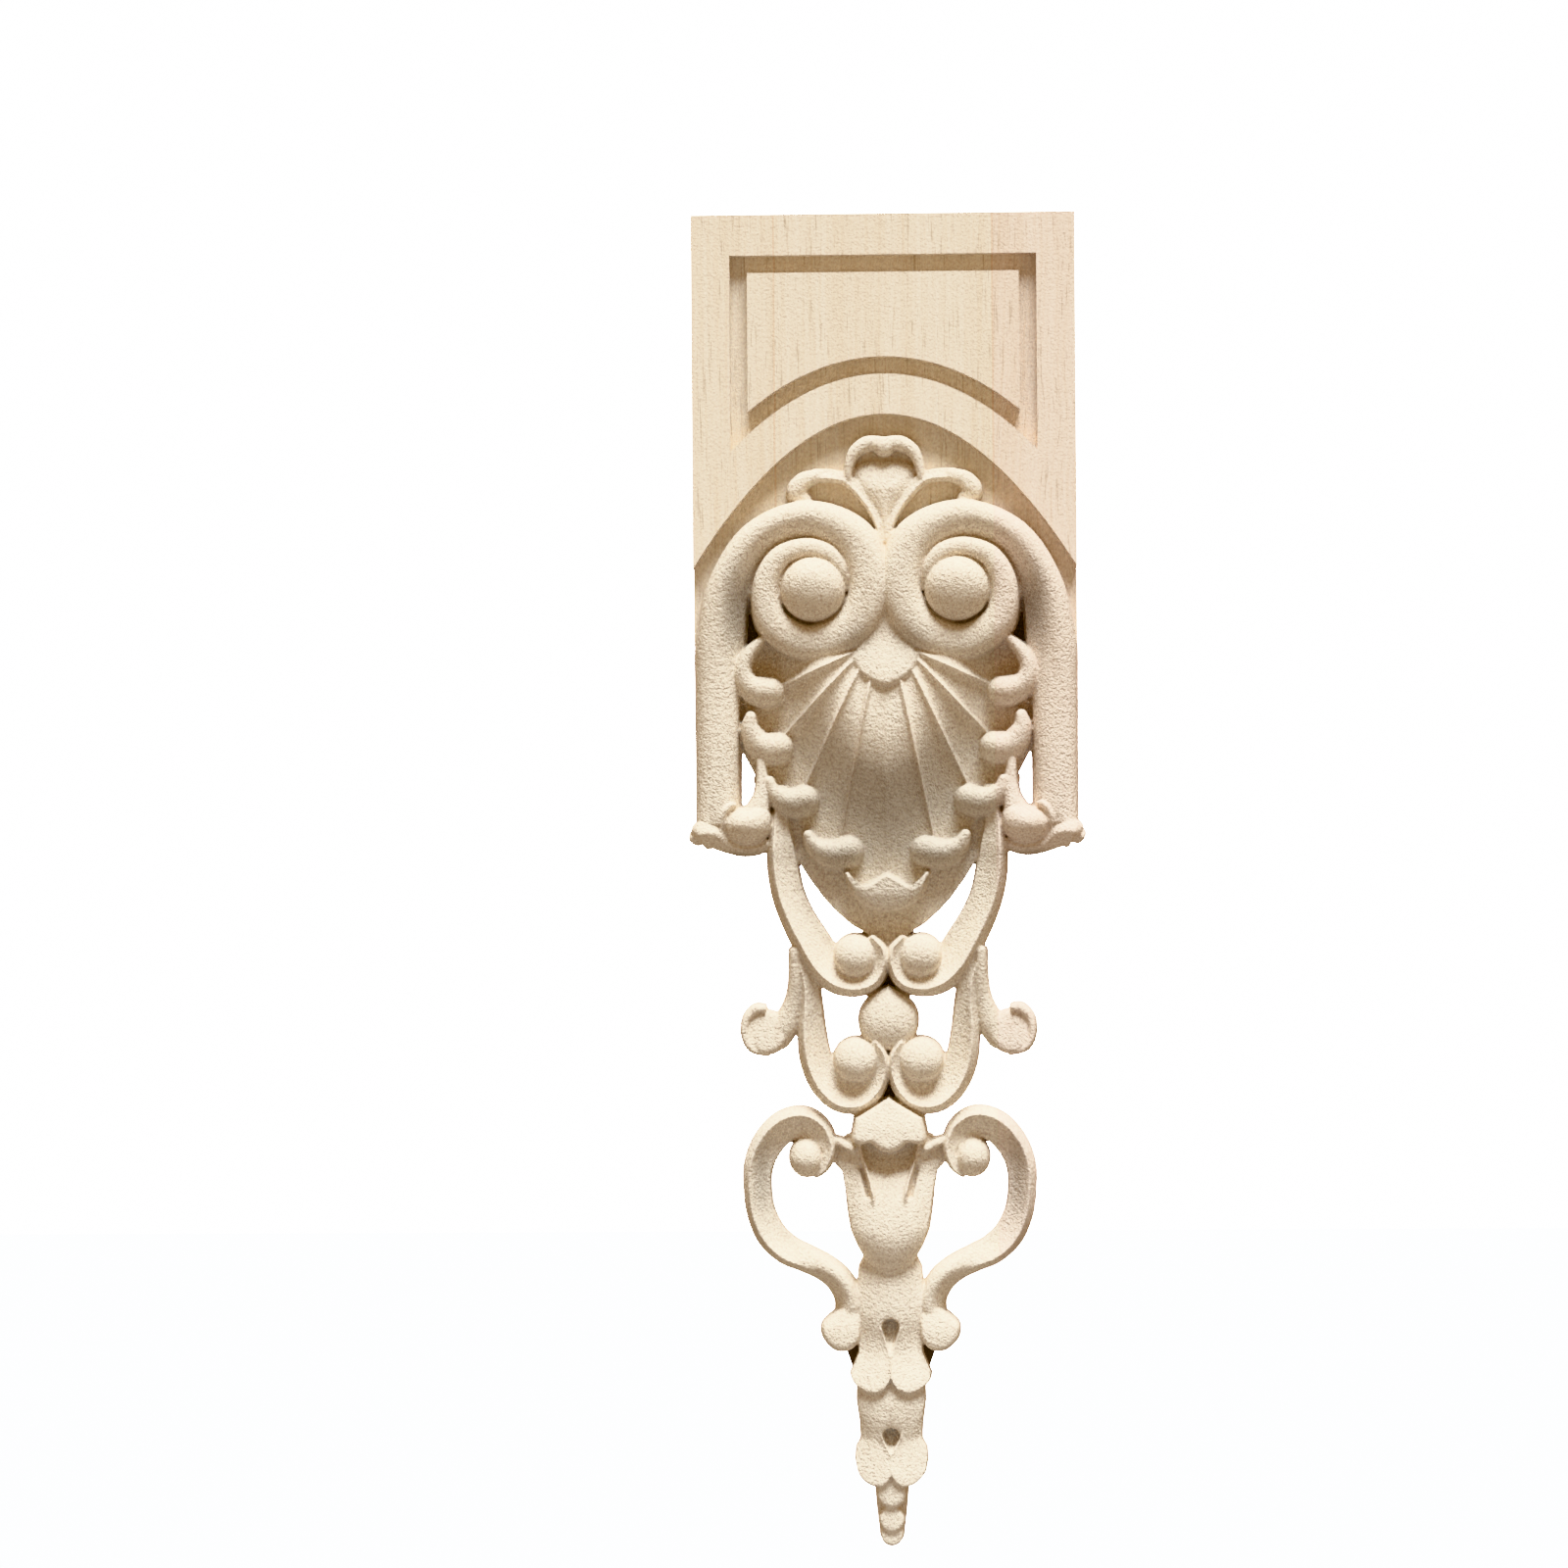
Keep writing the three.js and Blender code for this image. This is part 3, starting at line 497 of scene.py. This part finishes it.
carve(slab([(-4, 212), (4, 212), (4, 220.5), (-4, 220.5)], -SPARE, BACKING), both=False)
carve(roll(
    [(28, 220.8, 1.4, HOOK + 2), (27.8, 229.6, 1.9, HOOK + 1), (28.5, 236, 2.6, HOOK),
     (30.8, 242.4, 3.9, HOOK - 0.4), (33.8, 246, 4.7, HOOK - 0.8)],
))
turns = np.linspace(0, math.tau, 12, endpoint=False)
bowl = [(36.8 + 6.5 * math.cos(turn), 245.2 + 6.6 * math.sin(turn)) for turn in turns]
carve(dome(bowl, level(HOOK - 3.4), slope((239, HOOK - 1.2), (252, HOOK + 0.2)), profile=CRISP, sides=64))
carve(roll(
    [(36.4, 251.4, 0.7, HOOK - 1), (41, 250, 0.9, HOOK), (43, 246, 1, HOOK + 0.2),
     (42.6, 241.2, 1.1, HOOK + 0.2), (40, 238.2, 1.2, HOOK + 0.2), (37.4, 238, 0.9, HOOK)],
))

# The calyx is a swelling body under a cap with a waved lower edge, hollowed under the cap between two thin
# lips. A handle is carved on each side, from a bead beside the cap down to a leaf beside the husks.

CALYX = 14.0
HANDLE = 10.5

body_half = slope((276, 12.5), (279, 16), (282, 17.2), (284.4, 16.6), (287, 14.2), (292.4, 13), (299, 12.1),
                  (304, 11.3), (309, 9.4), (313.5, 7), (316.4, 4.8), (318.2, 2.6), (319, 1))
body_crown = swell((276, 8.6), (282, 8.8), (287, 10.2), (292, 12), (298, 13.6), (304, 14.4), (308, 14.2),
                   (312, 13), (316, 11), (319, 9))
hollow_half = slope((274, 7), (279, 8.2), (282, 7.5), (286, 6.3), (290, 5), (294, 4.2))
hollow_floor = swell((276, 4.4), (281, 5.4), (285, 7.8), (289, 10.8), (293, 13), (297, 14.4))


def body(u, v):
    """A point of the body, across it by u and from under the cap to its tip by v."""
    down = 276 + 43 * v
    across = 2 * u - 1
    out = across * body_half(down)
    above = body_crown(down) - 3.8 * abs(across) ** 2.6
    inside = clamp((hollow_half(down) - abs(out)) / 0.4 + 0.5)
    above += inside * min(hollow_floor(down) - above, 0)
    lip = clamp((down - 277) / 2) * clamp((297 - down) / 4)
    above += 2.1 * lip * math.exp(-(((abs(out) - hollow_half(down) - 0.6) / 0.55) ** 2))
    slit = clamp((down - 283.5) / 4) * clamp(295 - down)
    above -= 3.2 * slit * math.exp(-(((abs(out) - 8.7 + 0.24 * (down - 284)) / 0.6) ** 2))
    return out, down, above


carve(sheet(130, 150, body), both=False)
carve(dome(
    mirrored([(0, 265.1), (0, 265.1), (4.7, 267.8), (9.8, 270.8), (9.8, 270.8), (10.5, 274), (10.8, 277.4),
              (8.6, 278.4), (5.6, 278), (3.8, 279.4), (2, 280.6), (0, 280.9)]),
    level(CALYX - 2.2), slope((266, CALYX - 1.8), (273, CALYX + 0.2), (280, CALYX + 1.2)),
    centre=(0, 273), profile=CRISP,
), both=False)
carve(roll([(17, 277.4, 0.9, HANDLE - 2), (14.4, 278.2, 1, HANDLE - 1), (11, 280, 0.9, HANDLE - 0.2)],
           rise=0.6))
carve(roll(
    [(22.2, 288.5, 0.4, HANDLE - 3, 0), (20, 286.4, 0.9, HANDLE - 1.4, 0),
     (18.6, 283.4, 1.4, HANDLE - 0.4, 0), (18.2, 279.5, 2, HANDLE, 0), (20.8, 274.6, 3.4, HANDLE, 0),
     (25.9, 272.1, 4.5, HANDLE, 0), (32, 273.8, 4.7, HANDLE, 0), (36.9, 279, 4.5, HANDLE, 0),
     (39.5, 285.3, 4.2, HANDLE, 0), (39.8, 292.1, 4, HANDLE, 0), (38.8, 299.4, 4.1, HANDLE, 0),
     (35.8, 306, 4.3, HANDLE, 0), (31, 310.6, 4.2, HANDLE, 0), (25.6, 313.2, 3.9, HANDLE, 0.4),
     (20, 316, 3.8, HANDLE, 0.8), (15.6, 319.6, 3.9, HANDLE - 0.3, 1), (12.9, 324.6, 4, HANDLE - 1, 1),
     (12.8, 329, 3.9, HANDLE - 1.6, 1), (13.6, 332, 3.4, HANDLE - 2.4, 0.6)],
    top=cove_top, rise=1.2, points=25,
))
carve(dome(
    [(9.4, 329), (12.6, 327.4), (15.6, 328.4), (18.4, 330.4), (20.6, 333), (20.2, 337), (16.9, 340.4),
     (13, 340.7), (10.4, 339), (8.9, 335.6)],
    level(HANDLE - 4.5), swell((322, HANDLE - 2.4), (328, HANDLE - 2), (334, HANDLE - 0.4), (341, HANDLE)),
    centre=(14, 334), profile=CRISP,
))
# This thin web is painted nearly black further on, as painted shade in its pocket
carve(slab([(8, 334), (13.6, 339.6), (13, 342), (11.6, 346), (8, 345)], -SPARE, WEB))
carve(ball(24.9, 282.8, 5.2, HANDLE - 5, HANDLE + 0.8, tall=1.14))

# The drop is two husks, one under the other, carved in one with the rest. Each flares into a pair of
# petals, with a drop-shaped eye above the notch. Three small scales taper to the tip.

HUSK = 11.5
TIP = 7.0


def husk(half_at, crown_at, top, notch, tip, eye):
    """A husk from its top to the notch and the tips of its petals. Its eye has a top, a widest place and
    a tip."""
    eye_top, eye_wide, eye_tip = eye
    brow = crown_at(eye_wide)
    pit_tip = eye_wide + 0.55 * (eye_tip - eye_wide)
    ramp = slope((eye_top, brow - 4), (pit_tip, brow - 3.6), (pit_tip + 1, brow - 1.8),
                 (eye_tip, crown_at(eye_tip)))
    pit = slope((eye_top, 0), (eye_top + 0.4, 1.3), (eye_top + 1.2, 2.2), (eye_wide, 2.5),
                (eye_wide + 1.4, 2.2), (eye_tip, 0))

    def surface(u, v):
        across = 2 * u - 1
        petal = math.sqrt(max(0, 1 - (2 * abs(across) - 1) ** 2))
        down = top + v * (notch + (tip - notch) * petal - top)
        out = across * half_at(down)
        above = crown_at(top + v * (tip - top)) - 2.4 * abs(across) ** 2.4
        if eye_wide < down < eye_tip + 0.6:
            above += 0.5 * math.exp(-(((abs(out) - pit(down) - 0.4) / 0.35) ** 2))
        if eye_top < down < eye_tip:
            inside = clamp((pit(down) - abs(out)) / 0.5 + 0.5)
            above += inside * min(ramp(down) - above, 0)
        return out, down, above

    carve(sheet(110, 150, surface), both=False)


husk(
    slope((310, 6.6), (316, 9.4), (324, 9.8), (331, 9.4), (336, 9.2), (341, 9.5), (344, 10.7), (347, 12),
          (350, 11.8), (353, 10.6)),
    swell((311, HUSK - 3.4), (318, HUSK - 2.2), (326, HUSK - 1.1), (331, HUSK - 1), (336, HUSK - 1.8),
          (340, HUSK - 2.1), (344, HUSK - 1.6), (352, HUSK + 0.6)),
    top=311, notch=347, tip=352.8, eye=(330.8, 333.4, 341.6),
)
husk(
    slope((343, 8.6), (351.3, 10), (356, 10), (362, 9.1), (367, 9), (369.4, 10.4), (373, 10.7), (377, 10),
          (381, 8.6)),
    swell((343, HUSK - 4), (350, HUSK - 2.4), (354, HUSK - 1.2), (358, HUSK - 0.8), (362, HUSK - 1.1),
          (367, HUSK - 2.2), (370, HUSK - 2.2), (375, HUSK - 1.4), (380, HUSK - 0.4)),
    top=343, notch=376.6, tip=380.9, eye=(363.5, 365.8, 371.2),
)
for top, down, radius, high in ((376.8, 383.2, 4.6, 3.2), (384.5, 391.3, 3.9, 2.3), (390.5, 395.8, 3.4, 1.4)):
    carve(dome(
        mirrored([(0, top), (0, top), (radius * 0.8, down - radius * 0.6), (radius, down),
                  (radius * 0.7, down + radius * 0.7), (0, down + radius)]),
        level(TIP - 1), slope((top, TIP + high - 1), (down + radius, TIP + high)), profile=CRISP, sides=64,
    ), both=False)
carve(roll([(0, 380, 5.2, TIP - 2), (0, 388, 4.5, TIP - 2), (0, 394, 3.8, TIP - 2)], rise=0.5), both=False)

# The whole piece is one piece of wood: the carving and the board run together. The cutter leaves a small
# radius in every corner, and the back is planed flat. From here on it is in metres.

VOXEL = 0.3
MOST_TRIANGLES = 172_000

relief = workpiece(carving, "relief")
fuse = relief.modifiers.new("fuse", "REMESH")
fuse.mode = "VOXEL"
fuse.voxel_size = VOXEL
soften = relief.modifiers.new("soften", "SMOOTH")
soften.factor = 0.5
soften.iterations = 1
settled(relief)
triangles = sum(len(face.vertices) - 2 for face in relief.data.polygons)
thin = relief.modifiers.new("thin", "DECIMATE")
thin.ratio = min(1, MOST_TRIANGLES / triangles)
settled(relief)
worked(board, relief, "UNION")
saw = bmesh.new()
behind = Matrix.Translation((0, 10, 0)) @ Matrix.Diagonal((200, 20, 500, 1))
bmesh.ops.create_cube(saw, size=1, matrix=behind)
worked(board, workpiece(saw, "saw"), "DIFFERENCE")
applique = board
applique.name = "carved_applique"
applique.data.transform(Matrix.Scale(0.001, 4))
applique.data.shade_smooth()
applique.data.set_sharp_from_angle(angle=math.radians(38))

# The wood is pale, bare and finely sanded, with short dark pores along the grain. The three boards are
# glued edge to edge, and the one on the right is pinker and has a wavy grain.

CREAM = (0.81, 0.71, 0.57, 1)
STREAK = (0.7, 0.57, 0.41, 1)
PORE = (0.42, 0.31, 0.19, 1)
SPECK = (0.45, 0.32, 0.23, 1)
GLUE = (0.6, 0.38, 0.2, 1)
PINKER = (1.0, 0.965, 0.985, 1)
# The near-black tone that the painted shade darkens the wood towards
PAINTED_SHADE_TONE = (0.1, 0.07, 0.045, 1)
SEAM = 0.0327


def node(tree, kind, **settings):
    made = tree.nodes.new(kind)
    for name, value in settings.items():
        setattr(made, name, value)
    return made


def wood_grain():
    """A node group: the colour, with painted shade, and the surface of bare hardwood on three glued boards.
    """
    group = bpy.data.node_groups.new("Hardwood grain", "ShaderNodeTree")
    face = group.interface
    for name in ("Wood", "Streak"):
        face.new_socket(name, in_out="INPUT", socket_type="NodeSocketColor")
    for name in ("Streaks", "Pores", "Speckle", "Seams", "Grain depth", "Stipple depth"):
        face.new_socket(name, in_out="INPUT", socket_type="NodeSocketFloat")
    face.new_socket("Color", in_out="OUTPUT", socket_type="NodeSocketColor")
    face.new_socket("Normal", in_out="OUTPUT", socket_type="NodeSocketVector")
    given = node(group, "NodeGroupInput").outputs
    out = node(group, "NodeGroupOutput").inputs
    link = group.links.new

    def feed(socket, value):
        if isinstance(value, bpy.types.NodeSocket):
            link(value, socket)
        else:
            socket.default_value = value

    def math_node(operation, *values):
        made = node(group, "ShaderNodeMath", operation=operation)
        for socket, value in zip(made.inputs, values):
            feed(socket, value)
        return made.outputs[0]

    def noise(where, scale, detail, rough=0.5):
        made = node(group, "ShaderNodeTexNoise", noise_dimensions="3D")
        link(where, made.inputs["Vector"])
        made.inputs["Scale"].default_value = scale
        made.inputs["Detail"].default_value = detail
        made.inputs["Roughness"].default_value = rough
        return made.outputs["Fac"]

    def spread(value, low, high):
        made = node(group, "ShaderNodeMapRange")
        made.inputs["From Min"].default_value = low
        made.inputs["From Max"].default_value = high
        link(value, made.inputs["Value"])
        return made.outputs["Result"]

    def mixed(factor, one, other, blend="MIX"):
        made = node(group, "ShaderNodeMix", data_type="RGBA", blend_type=blend)
        feed(made.inputs["Factor"], factor)
        feed(made.inputs[6], one)
        feed(made.inputs[7], other)
        return made.outputs[2]

    def bump(height, depth):
        made = node(group, "ShaderNodeBump")
        link(height, made.inputs["Height"])
        link(depth, made.inputs["Distance"])
        return made

    coords = node(group, "ShaderNodeTexCoord").outputs["Object"]
    parts = node(group, "ShaderNodeSeparateXYZ")
    link(coords, parts.inputs[0])
    x, y, z = parts.outputs
    # Which board: 0 on the left, 1 in the middle, 2 on the right
    right = math_node("GREATER_THAN", x, SEAM)
    which = math_node("ADD", right, math_node("GREATER_THAN", x, -SEAM))
    # A slow bend in the grain, stronger on the right board
    bend = math_node("SUBTRACT", noise(coords, 22, 1), 0.5)
    swing = math_node("MULTIPLY", bend, math_node("MULTIPLY_ADD", right, 0.012, 0.0025))
    moved = node(group, "ShaderNodeCombineXYZ")
    link(math_node("ADD", math_node("ADD", x, swing), math_node("MULTIPLY", which, 0.37)), moved.inputs["X"])
    link(y, moved.inputs["Y"])
    link(math_node("ADD", z, math_node("MULTIPLY", which, 0.21)), moved.inputs["Z"])

    def grain(across, along, detail, rough=0.5):
        stretch = node(group, "ShaderNodeMapping")
        stretch.inputs["Scale"].default_value = (across, across, along)
        link(moved.outputs[0], stretch.inputs["Vector"])
        return noise(stretch.outputs[0], 1, detail, rough)

    bands = spread(grain(140, 5, 2), 0.35, 0.7)
    fine = spread(grain(900, 22, 3, 0.6), 0.4, 0.75)
    pores = math_node("MULTIPLY", spread(grain(1700, 75, 2, 0.55), 0.61, 0.72), given["Pores"])
    streaks = math_node("MULTIPLY_ADD", bands, 0.45, math_node("MULTIPLY", fine, 0.55))
    colour = mixed(math_node("MULTIPLY", streaks, given["Streaks"]), given["Wood"], given["Streak"])
    colour = mixed(pores, colour, PORE)
    # Sanding leaves fine dark specks
    specks = spread(noise(coords, 1250, 1), 0.48, 0.66)
    colour = mixed(math_node("MULTIPLY", specks, given["Speckle"]), colour, SPECK)
    # A thin line of glue shows where the boards meet
    from_seam = math_node("ABSOLUTE", math_node("SUBTRACT", math_node("ABSOLUTE", x), SEAM))
    glue = math_node("LESS_THAN", from_seam, 0.0003)
    colour = mixed(math_node("MULTIPLY", glue, given["Seams"]), colour, GLUE)
    colour = mixed(1, colour, mixed(right, (1, 1, 1, 1), PINKER), blend="MULTIPLY")
    # Painted shade: the shade attribute darkens the colour towards the painted shade tone, standing in for
    # shade in hollows, creases and under overhangs
    shade = node(group, "ShaderNodeAttribute", attribute_name="shade").outputs["Fac"]
    link(mixed(shade, colour, PAINTED_SHADE_TONE, blend="MULTIPLY"), out["Color"])
    # The grain stands up between its pores, and the cutter and the sandpaper leave a fine stipple
    height = math_node("MULTIPLY_ADD", pores, -1.0, math_node("MULTIPLY", fine, -0.25))
    layers = [
        bump(height, given["Grain depth"]),
        bump(noise(coords, 1500, 2, 0.55), given["Stipple depth"]),
        bump(noise(coords, 700, 2, 0.55), math_node("MULTIPLY", given["Stipple depth"], 0.7)),
    ]
    for under, over in zip(layers, layers[1:]):
        link(under.outputs["Normal"], over.inputs["Normal"])
    link(layers[-1].outputs["Normal"], out["Normal"])
    return group


grain_group = wood_grain()


def wood(name, marks):
    """Bare wood with the given strength of each mark. The depths are in metres."""
    made = bpy.data.materials.new(name)
    made.use_nodes = True
    tree = made.node_tree
    tree.nodes.clear()
    link = tree.links.new
    out = node(tree, "ShaderNodeOutputMaterial")
    bare = node(tree, "ShaderNodeBsdfPrincipled")
    bare.inputs["Roughness"].default_value = 0.68
    bare.inputs["Specular IOR Level"].default_value = 0.3
    link(bare.outputs[0], out.inputs["Surface"])
    grain = node(tree, "ShaderNodeGroup", node_tree=grain_group)
    grain.inputs["Wood"].default_value = CREAM
    grain.inputs["Streak"].default_value = STREAK
    for mark, strength in marks.items():
        grain.inputs[mark].default_value = strength
    link(grain.outputs["Color"], bare.inputs["Base Color"])
    link(grain.outputs["Normal"], bare.inputs["Normal"])
    return made


carved = wood("carved_hardwood", {"Streaks": 0.3, "Pores": 0.16, "Speckle": 0.38, "Seams": 0.06,
                                  "Grain depth": 0.00003, "Stipple depth": 0.0005})
planed = wood("planed_hardwood", {"Streaks": 0.9, "Pores": 0.5, "Speckle": 0.2, "Seams": 0.3,
                                  "Grain depth": 0.00004, "Stipple depth": 0.00014})
applique.data.materials.clear()
applique.data.materials.append(carved)
applique.data.materials.append(planed)
CLOSE = 2e-5
flats = [-BOARD_TOP / 1000, -GROOVE_FLOOR / 1000, -FIELD_TOP / 1000, 0]
for face in applique.data.polygons:
    spot, way = face.center, face.normal
    on_flat = abs(way.y) > 0.999 and min(abs(spot.y - flat) for flat in flats) < CLOSE
    on_side = abs(abs(spot.x) - BOARD_HALF / 1000) < CLOSE or abs(spot.z - HALF_HEIGHT / 1000) < CLOSE
    face.material_index = 1 if on_flat or on_side else 0

# Painted shade: places where the wood's colour is darkened to stand in for shade, on the downward-facing
# hollow of the shell, under overhanging forms, in creases and in deep pockets. Each row has out, down, how
# far it reaches across and along, its strength and the height above which it fades.
painted_shade_places = [
    (0, 178, 26, 27, 0.47, 14.2), (24, 163, 12, 13, 0.05, 12.6), (45.4, 118, 3.6, 13, 0.42, 20),
    (8.2, 127.5, 5.5, 5, 0.25, 20), (24, 130, 10, 5, 0.1, 20), (28, 176.4, 6, 3.4, 0.22, 20),
    (15.5, 191.6, 6, 3.2, 0.2, 20), (38.4, 290, 3.2, 15, 0.34, 20), (24.6, 236, 3, 9, 0.16, 20),
    (0, 333, 2.6, 3, 0.5, 8.6), (0, 365.8, 2.6, 2.4, 0.5, 8.6), (22, 111, 16, 17, 0.45, 13.5),
    (48, 192, 12, 1.2, 0.5, 20),
]


# The strength of the painted shade at a point, from the places above
def painted_shade_at(out, down, above):
    total = 0
    for place_out, place_down, across, along, strength, limit in painted_shade_places:
        far = ((out - place_out) / across) ** 2 + ((down - place_down) / along) ** 2
        total += strength * math.exp(-far) * clamp((limit - above) / 2.5 + 0.3)
    return total


shade = applique.data.attributes.new("shade", "FLOAT", "POINT")
for vertex, mark in zip(applique.data.vertices, shade.data):
    x, y, z = vertex.co * 1000
    # The tops of the thin webs are painted nearly black, as painted shade in their deep pockets
    on_web_painted_dark = vertex.normal.y < -0.5 and 0.5 < -y < 2
    mark.value = 0.95 if on_web_painted_dark else painted_shade_at(abs(x), HALF_HEIGHT - z, -y)

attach(applique, "root")
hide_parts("applique")

# The room is a plain pale floor and a white backdrop that only the camera sees. A window lights the piece
# from above, a second one its back, and a white card its undersides. The walls give a weak warm fill.

ground = bmesh.new()
bmesh.ops.create_grid(ground, x_segments=1, y_segments=1, size=6)
bmesh.ops.translate(ground, verts=ground.verts, vec=(0, 0, -0.6))
floor = workpiece(ground, "floor")
pale = bpy.data.materials.new("pale_floor")
pale.use_nodes = True
paint = pale.node_tree.nodes["Principled BSDF"].inputs
paint["Base Color"].default_value = (0.9, 0.9, 0.9, 1)
paint["Roughness"].default_value = 0.9
paint["Emission Color"].default_value = (1, 1, 1, 1)
paint["Emission Strength"].default_value = 8
floor.data.materials.append(pale)
floor.visible_diffuse = False
floor.visible_glossy = False

world = bpy.data.worlds.new("studio")
world.use_nodes = True
room = world.node_tree
fill = room.nodes["Background"]
fill.inputs["Color"].default_value = (1, 0.75, 0.49, 1)
fill.inputs["Strength"].default_value = 0.46
backdrop = node(room, "ShaderNodeBackground")
backdrop.inputs["Color"].default_value = (1, 1, 1, 1)
backdrop.inputs["Strength"].default_value = 30
choice = node(room, "ShaderNodeMixShader")
room.links.new(node(room, "ShaderNodeLightPath").outputs["Is Camera Ray"], choice.inputs[0])
room.links.new(fill.outputs[0], choice.inputs[1])
room.links.new(backdrop.outputs[0], choice.inputs[2])
room.links.new(choice.outputs[0], room.nodes["World Output"].inputs["Surface"])
bpy.context.scene.world = world


def hang(light, way, place=(0, 0, 0)):
    lamp = bpy.data.objects.new(light.name, light)
    lamp.location = place
    lamp.rotation_euler = Vector(way).to_track_quat("-Z", "Y").to_euler()
    bpy.context.scene.collection.objects.link(lamp)


def window(name, way, strength, spread, colour):
    """Soft daylight that travels one way, from a patch of sky of the given width in degrees."""
    daylight = bpy.data.lights.new(name, "SUN")
    daylight.energy = strength
    daylight.angle = math.radians(spread)
    daylight.color = colour
    hang(daylight, way)


window("window", (-0.1, 0.31, -0.94), 8.6, 32, (0.81, 0.925, 1.03))
window("rear_window", (0.1, -0.85, -0.5), 2.2, 60, (0.95, 0.98, 1))
card = bpy.data.lights.new("white_card", "AREA")
card.energy = 0.8
card.size = 0.5
card.color = (0.5, 0.74, 1)
hang(card, (0, 0.42, 0.32), (0, -0.42, -0.44))
bpy.context.scene.view_settings.view_transform = "Khronos PBR Neutral"

# The camera looks nearly straight at the piece from a metre and a half, turned a little to its left. Its
# lens is given in pixels of an image 1600 pixels wide.

FOCAL_PIXELS = 5079

camera = bpy.data.cameras.new("camera")
camera.sensor_width = 36
camera.lens = camera.sensor_width * FOCAL_PIXELS / 1600
view = bpy.data.objects.new("camera", camera)
view.matrix_world = (
    Matrix.Translation((0.025, -1.5, 0.0185))
    @ Matrix.Rotation(math.radians(2.14), 4, "Z") @ Matrix.Rotation(math.radians(0.42), 4, "X")
    @ Matrix.Rotation(math.radians(0.41), 4, "Y") @ Matrix.Rotation(math.radians(90), 4, "X")
)
bpy.context.scene.collection.objects.link(view)
bpy.context.scene.camera = view
